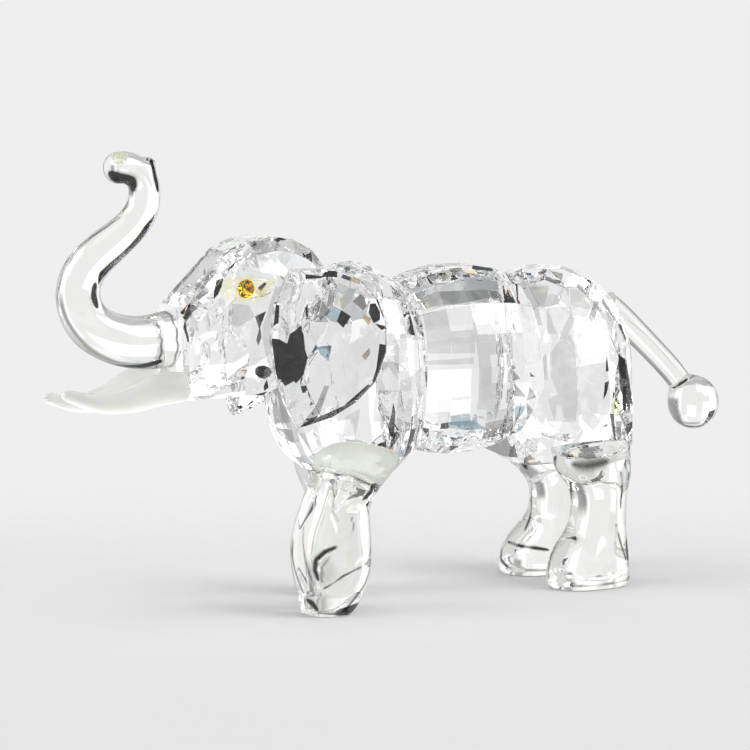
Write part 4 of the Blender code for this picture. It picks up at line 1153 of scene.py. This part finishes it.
# Painted dark reflections in the hot-formed pieces: (path, width, strength)
PAINTED_STREAKS = {
    "trunk": (
        (((-71.1, -2.1, 105.9), (-68.9, -2.8, 104.6), (-67.0, -2.6, 104.1), (-65.7, -1.3, 102.6)),
            1.6, 1.7),
        (((-60.9, -2.0, 108.5), (-60.4, -3.0, 105.0), (-59.8, -3.0, 101.8)), 0.65, 1.5),
        (((-77.0, -4.8, 81.0), (-77.3, -4.9, 78.2), (-76.6, -4.9, 76.0)), 0.85, 1.5),
        (((-68.6, -1.1, 95.9), (-75.7, -0.7, 91.6), (-81.1, -1.0, 86.6), (-84.0, -0.5, 80.9),
            (-84.3, 0.4, 77.3), (-82.2, 1.9, 71.2), (-78.7, -0.2, 66.1)), 0.4, 0.8),
        (((-80.0, 0.8, 67.6), (-75.8, 0.5, 63.8), (-70.3, -0.5, 61.2), (-64.8, -3.2, 60.7),
            (-60.5, -5.0, 62.0)), 1.0, 1.6),
        (((-81.4, 1.0, 69.4), (-76.8, -0.6, 64.8), (-72.9, -2.2, 62.9), (-66.0, -4.2, 62.2)), 2.2,
            0.42),
        (((-61.9, -2.2, 108.9), (-61.2, -0.9, 109.7)), 0.3, 1.4),
        (((-61.1, -2.5, 108.2), (-60.4, -1.2, 109.0)), 0.3, 1.4),
        (collar_line(-60.7, 6.5, 3), 0.3, 0.9),
        (collar_line(-56.6, 6.7, 2), 0.3, 0.9),
    ),
    "tail": (
        (((67.1, 0.1, 70.0), (73.7, -1.0, 65.0), (81.6, -1.0, 57.2), (87.8, -1.2, 50.4)), 0.45,
            0.85),
        (((69.6, -3.3, 63.3), (76.3, -3.0, 58.4), (84.0, -3.0, 50.4)), 0.25, 0.5),
        (((73.2, 0.9, 56.0), (78.7, 1.0, 51.0), (83.6, 0.9, 46.0)), 0.45, 0.85),
        (((84.6, -0.7, 45.0), (85.7, -2.7, 46.4), (87.4, -2.8, 47.3)), 0.4, 1.2),
    ),
    "left_front_leg": (
        (((-24.0, -9.7, 29.9), (-25.4, -7.9, 24.4), (-27.3, -8.0, 18.9), (-28.4, -10.3, 14.5),
            (-27.8, -11.3, 9.8), (-26.8, -12.3, 6.0), (-25.9, -12.2, 2.6)), 0.45, 1.0),
        (((-27.1, -13.8, 21.6), (-27.7, -14.5, 18.0), (-27.6, -15.2, 14.2), (-26.8, -15.8, 10.4),
            (-25.6, -16.5, 7.6)), 0.3, 0.8),
        (((-20.6, -17.8, 16.7), (-23.5, -17.6, 15.7), (-25.6, -17.0, 13.9), (-25.8, -16.9, 11.5),
            (-25.1, -17.1, 9.1)), 0.75, 1.0),
        (((-22.6, -18.0, 14.4), (-24.4, -17.5, 12.0), (-24.2, -17.5, 8.6)), 0.4, 1.0),
        (((-23.6, -17.9, 13.4), (-24.0, -17.5, 8.8)), 3.4, 0.52),
        (((-25.0, -17.0, 5.6), (-24.0, -17.3, 1.6)), 2.8, 0.62),
        (((-25.8, -13.0, 5.1), (-23.6, -17.8, 7.1), (-19.2, -18.7, 9.7), (-14.6, -18.1, 11.1),
            (-11.1, -16.6, 12.1)), 0.3, 1.0),
        (((-26.1, -13.4, 3.7), (-25.4, -15.1, 3.0), (-24.7, -15.9, 1.6)), 0.6, 1.3),
        (((-12.5, -17.8, 26.3), (-9.9, -15.0, 21.8), (-9.9, -15.6, 16.6), (-11.2, -16.9, 13.1)),
            0.35, 0.9),
        (((-10.7, -16.5, 10.5), (-12.6, -17.4, 7.0), (-15.7, -18.2, 4.1), (-18.9, -18.1, 1.0)), 0.4,
            0.9),
        (((-21.7, -17.7, 32.3), (-21.2, -17.8, 28.4), (-21.3, -17.5, 25.0), (-19.8, -17.8, 22.6)),
            0.3, 0.75),
        (((-16.8, -18.2, 24.3), (-16.0, -18.1, 21.4), (-16.6, -18.3, 19.5)), 0.3, 0.8),
        (((-10.8, -19.1, 31.1), (-11.7, -18.7, 29.2), (-13.5, -18.6, 27.7)), 0.75, 1.2),
        (((-22.8, -12.5, 33.8), (-20.7, -18.4, 34.0), (-16.5, -19.7, 33.1), (-13.6, -19.3, 31.6),
            (-10.4, -18.3, 30.0)), 0.35, 1.0),
        (((-24.5, -16.0, 0.9), (-22.2, -17.6, 0.7), (-18.9, -18.1, 0.7)), 0.35, 0.9),
    ),
    "left_hind_leg": (
        (((45.6, -17.2, 31.0), (48.7, -19.6, 31.0), (52.8, -20.4, 31.7)), 1.9, 0.85),
        (((44.4, -10.8, 32.5), (45.2, -9.2, 29.7), (46.3, -9.7, 27.7)), 0.7, 1.2),
        (((57.7, -19.4, 28.6), (60.2, -15.9, 23.5), (60.3, -15.4, 19.0)), 0.4, 1.0),
        (((59.1, -16.1, 13.2), (59.5, -16.8, 10.3), (60.7, -17.2, 6.3)), 0.4, 1.0),
        (((47.9, -12.1, 25.9), (51.5, -6.2, 20.4), (51.2, -6.2, 16.3)), 0.8, 1.0),
        (((48.0, -6.5, 11.1), (45.7, -8.0, 9.2), (44.1, -8.8, 6.5), (43.0, -10.2, 2.3)), 0.6, 1.0),
        (((43.2, -11.3, 4.5), (45.1, -16.4, 4.1), (51.6, -18.8, 3.4), (61.2, -17.4, 3.3)), 0.3,
            0.9),
        (((43.0, -10.6, 1.4), (46.9, -18.2, 1.3), (54.8, -19.3, 1.3), (61.1, -17.5, 1.6)), 0.4,
            0.8),
        (((48.0, -14.5, 26.3), (52.8, -17.5, 26.0), (57.0, -17.2, 25.4)), 0.3, 0.6),
    ),
    "right_hind_leg": (
        (((44.9, 8.8, 31.2), (46.1, 7.9, 28.7), (47.5, 8.3, 26.6)), 0.8, 1.2),
        (((49.9, 10.2, 23.1), (50.7, 11.1, 17.9), (48.9, 9.0, 13.3), (47.2, 8.1, 11.1)), 0.5, 1.0),
        (((44.5, 11.7, 7.8), (45.2, 7.2, 7.4), (48.3, 4.7, 7.0), (51.3, 3.9, 6.4)), 0.5, 1.1),
        (((43.9, 13.6, 6.0), (43.0, 12.6, 3.3), (43.1, 9.4, 2.0)), 0.6, 1.0),
        (((43.3, 8.7, 1.8), (46.7, 4.8, 1.6), (51.3, 3.8, 1.4)), 0.4, 0.8),
    ),
}


def paint_dark_streaks(bm, node):
    """Writes to each vertex how much painted dark reflection it carries from the streaks."""
    layer = bm.verts.layers.float.new("painted_streak")
    for path, width, strength in PAINTED_STREAKS.get(node, ()):
        for vertex in bm.verts:
            distance, along = path_distance(vertex.co, path)
            taper = STREAK_END + (1 - STREAK_END) * math.sin(math.pi * along) ** 0.5
            far = distance / (STREAK_SPREAD * width * taper)
            if far < 3:
                vertex[layer] = max(vertex[layer], strength * math.exp(-far * far))


def add_veil(bm, point, normal, reach):
    """Milky skin on everything past a plane, fading in over the reach."""
    layer = bm.verts.layers.float.new("veil")
    for vertex in bm.verts:
        past = (vertex.co - Vector(point)).dot(Vector(normal).normalized()) / reach
        vertex[layer] = min(1.0, max(0.0, past))


LEG_SMOOTHING = 4
# Planes, as a point and a normal, that grind the stepping leg: under its raised toes and the table
STEP_SOLE = (Vector((-16.8, 0, 0)), Vector((0.70, 0, -0.71)))
TABLE = (Vector((0, 0, 0)), Vector((0, 0, -1)))
# The milky cap on top of the stepping leg: a point and the normal of a plane, and the reach
MILKY_CAP = ((-17.0, -19.0, 33.3), (0.32, 0.0, 0.95), 0.5)


def add_legs(glass, milky, join):
    for name, sections, (point, normal), side in (
        ("left_front_leg", STEPPING_LEG, FRONT_LEFT_JOINT, -1),
        ("right_front_leg", STRAIGHT_LEG, FRONT_RIGHT_JOINT, 1),
        ("left_hind_leg", HIND_LEG, HIND_JOINT, -1),
        ("right_hind_leg", HIND_LEG, HIND_JOINT, 1),
    ):
        leg = lofted_leg(sections, side)
        point = Vector((point.x, side * point.y, point.z))
        normal = Vector((normal.x, side * normal.y, normal.z))
        grind(leg, point, normal)
        if sections is STEPPING_LEG:
            grind(leg, *STEP_SOLE)
            grind(leg, *TABLE)
        for path, width, depth in LEG_GROOVES[name]:
            groove(leg, path, width, depth)
        for _ in range(LEG_SMOOTHING):
            bmesh.ops.smooth_vert(
                leg, verts=leg.verts, factor=0.5, use_axis_x=True, use_axis_y=True, use_axis_z=False
            )
        paint_dark_streaks(leg, name)
        if sections is STEPPING_LEG:
            add_veil(leg, *MILKY_CAP)
        bond_flats(to_metres(leg))
        face = milky if sections is STEPPING_LEG else join
        finish_piece("formed_" + name, leg, (glass, face), name)


def add_films(adhesive, join):
    """Each film keeps its flats clear and shows only its rim, drawn in a little as it sets."""
    for name in BONDS:
        if name.endswith("_eye"):
            continue
        bm = node_bmesh(name)
        flats = largest_faces(bm)
        for face in bm.faces:
            face.material_index = 1
        for face in flats:
            face.material_index = 0
        rim = join if "barrel" in name else adhesive
        finish_piece("film" + name[4:], bm, (join, rim), name)


def subtract(piece, cutter, material, operation="DIFFERENCE"):
    """A Boolean of the piece with a cutter mesh, applied at once."""
    mesh = bpy.data.meshes.new("cutter")
    cutter.to_mesh(mesh)
    cutter.free()
    if material is not None:
        mesh.materials.append(material)
    tool = bpy.data.objects.new("cutter", mesh)
    bpy.context.scene.collection.objects.link(tool)
    modifier = piece.modifiers.new("cut", "BOOLEAN")
    modifier.operation = operation
    modifier.solver = "EXACT"
    modifier.material_mode = "TRANSFER"
    modifier.object = tool
    graph = bpy.context.evaluated_depsgraph_get()
    shaped = bpy.data.meshes.new_from_object(piece.evaluated_get(graph))
    piece.modifiers.clear()
    old = piece.data
    piece.data = shaped
    shaped.name = old.name + "_shaped"
    bpy.data.meshes.remove(old)
    bpy.data.objects.remove(tool)
    bpy.data.meshes.remove(mesh)


# A painted reflection of the yellow eye stone: an oval of pale yellow laid into the head's glass
# round the eye, as its centre, half sizes and colour
PAINTED_EYE_REFLECTION = (
    ((EYE_CENTRE.x - MIDDLE_X) * MM, 0.0, EYE_CENTRE.z * MM),
    (0.0066, 1.0, 0.0034), (0.98, 0.92, 0.62),
)


def main():
    scene = bpy.context.scene
    scene.view_settings.view_transform = "Standard"
    scene.cycles.max_bounces = 32
    scene.cycles.transmission_bounces = 32
    scene.cycles.glossy_bounces = 24
    scene.cycles.transparent_max_bounces = 48
    build_world()
    build_camera()
    build_floor()
    crystal = cut_material("cut_crystal", 7.0, 0.03)
    head_crystal = cut_material("head_crystal", 5.0, 0.03, facet_tilt=0.03, eye_reflection_oval=PAINTED_EYE_REFLECTION)
    ear_crystal = cut_material("ear_crystal", 4.5, 0.10)
    # One material for each painted reflection colour, painted only where the eye first meets the
    # glass
    painted_tones = {
        name: cut_material("painted_reflection_" + name, 4.0, 0.06, painted_tone=painted_tone) for name, painted_tone in PAINTED_REFLECTION_TONES.items()
    }
    slots = {name: index + 2 for index, name in enumerate(painted_tones)}
    formed = formed_material()
    frosted = glass_material(
        "frosted_crystal", colour=(0.54, 0.54, 0.52), roughness=0.6, grain=0.25
    )
    yellow = glass_material("yellow_stone", colour=(1.0, 0.80, 0.04))
    foil = glass_material(
        "gold_foil", colour=(1.0, 0.76, 0.06), roughness=0.25, grain=0.2,
        **{"Metallic": 1.0, "Transmission Weight": 0.0},
    )
    join = clear_join_material()
    milky = milky_join_material()
    pit = glass_material("ground_pit", colour=(0.80, 0.86, 0.55), roughness=0.4, grain=0.1)
    adhesive = glass_material("clear_adhesive", refraction=1.45)
    FILM_OUTLINES.extend(film_outlines())
    for node in CUT_CRYSTAL_NODES:
        if node == "head":
            base = head_crystal
        else:
            base = ear_crystal if node.endswith("_ear") else crystal
        cut_piece(node, (base, join, *painted_tones.values()), slots)
    add_trunk(formed, pit, join)
    add_tail(formed, join)
    add_tusks(frosted, join)
    add_legs(formed, milky, join)
    add_films(adhesive, join)
    for name, obj in NODES.items():
        if name in CUT_CRYSTAL_NODES:
            continue
        if name.startswith("bond_"):
            finish = foil if name.endswith("_eye") else join
        elif "tusk" in name:
            finish = frosted
        elif "eye" in name:
            finish = yellow
        else:
            finish = formed
        obj.data.materials.clear()
        obj.data.materials.append(finish)


main()
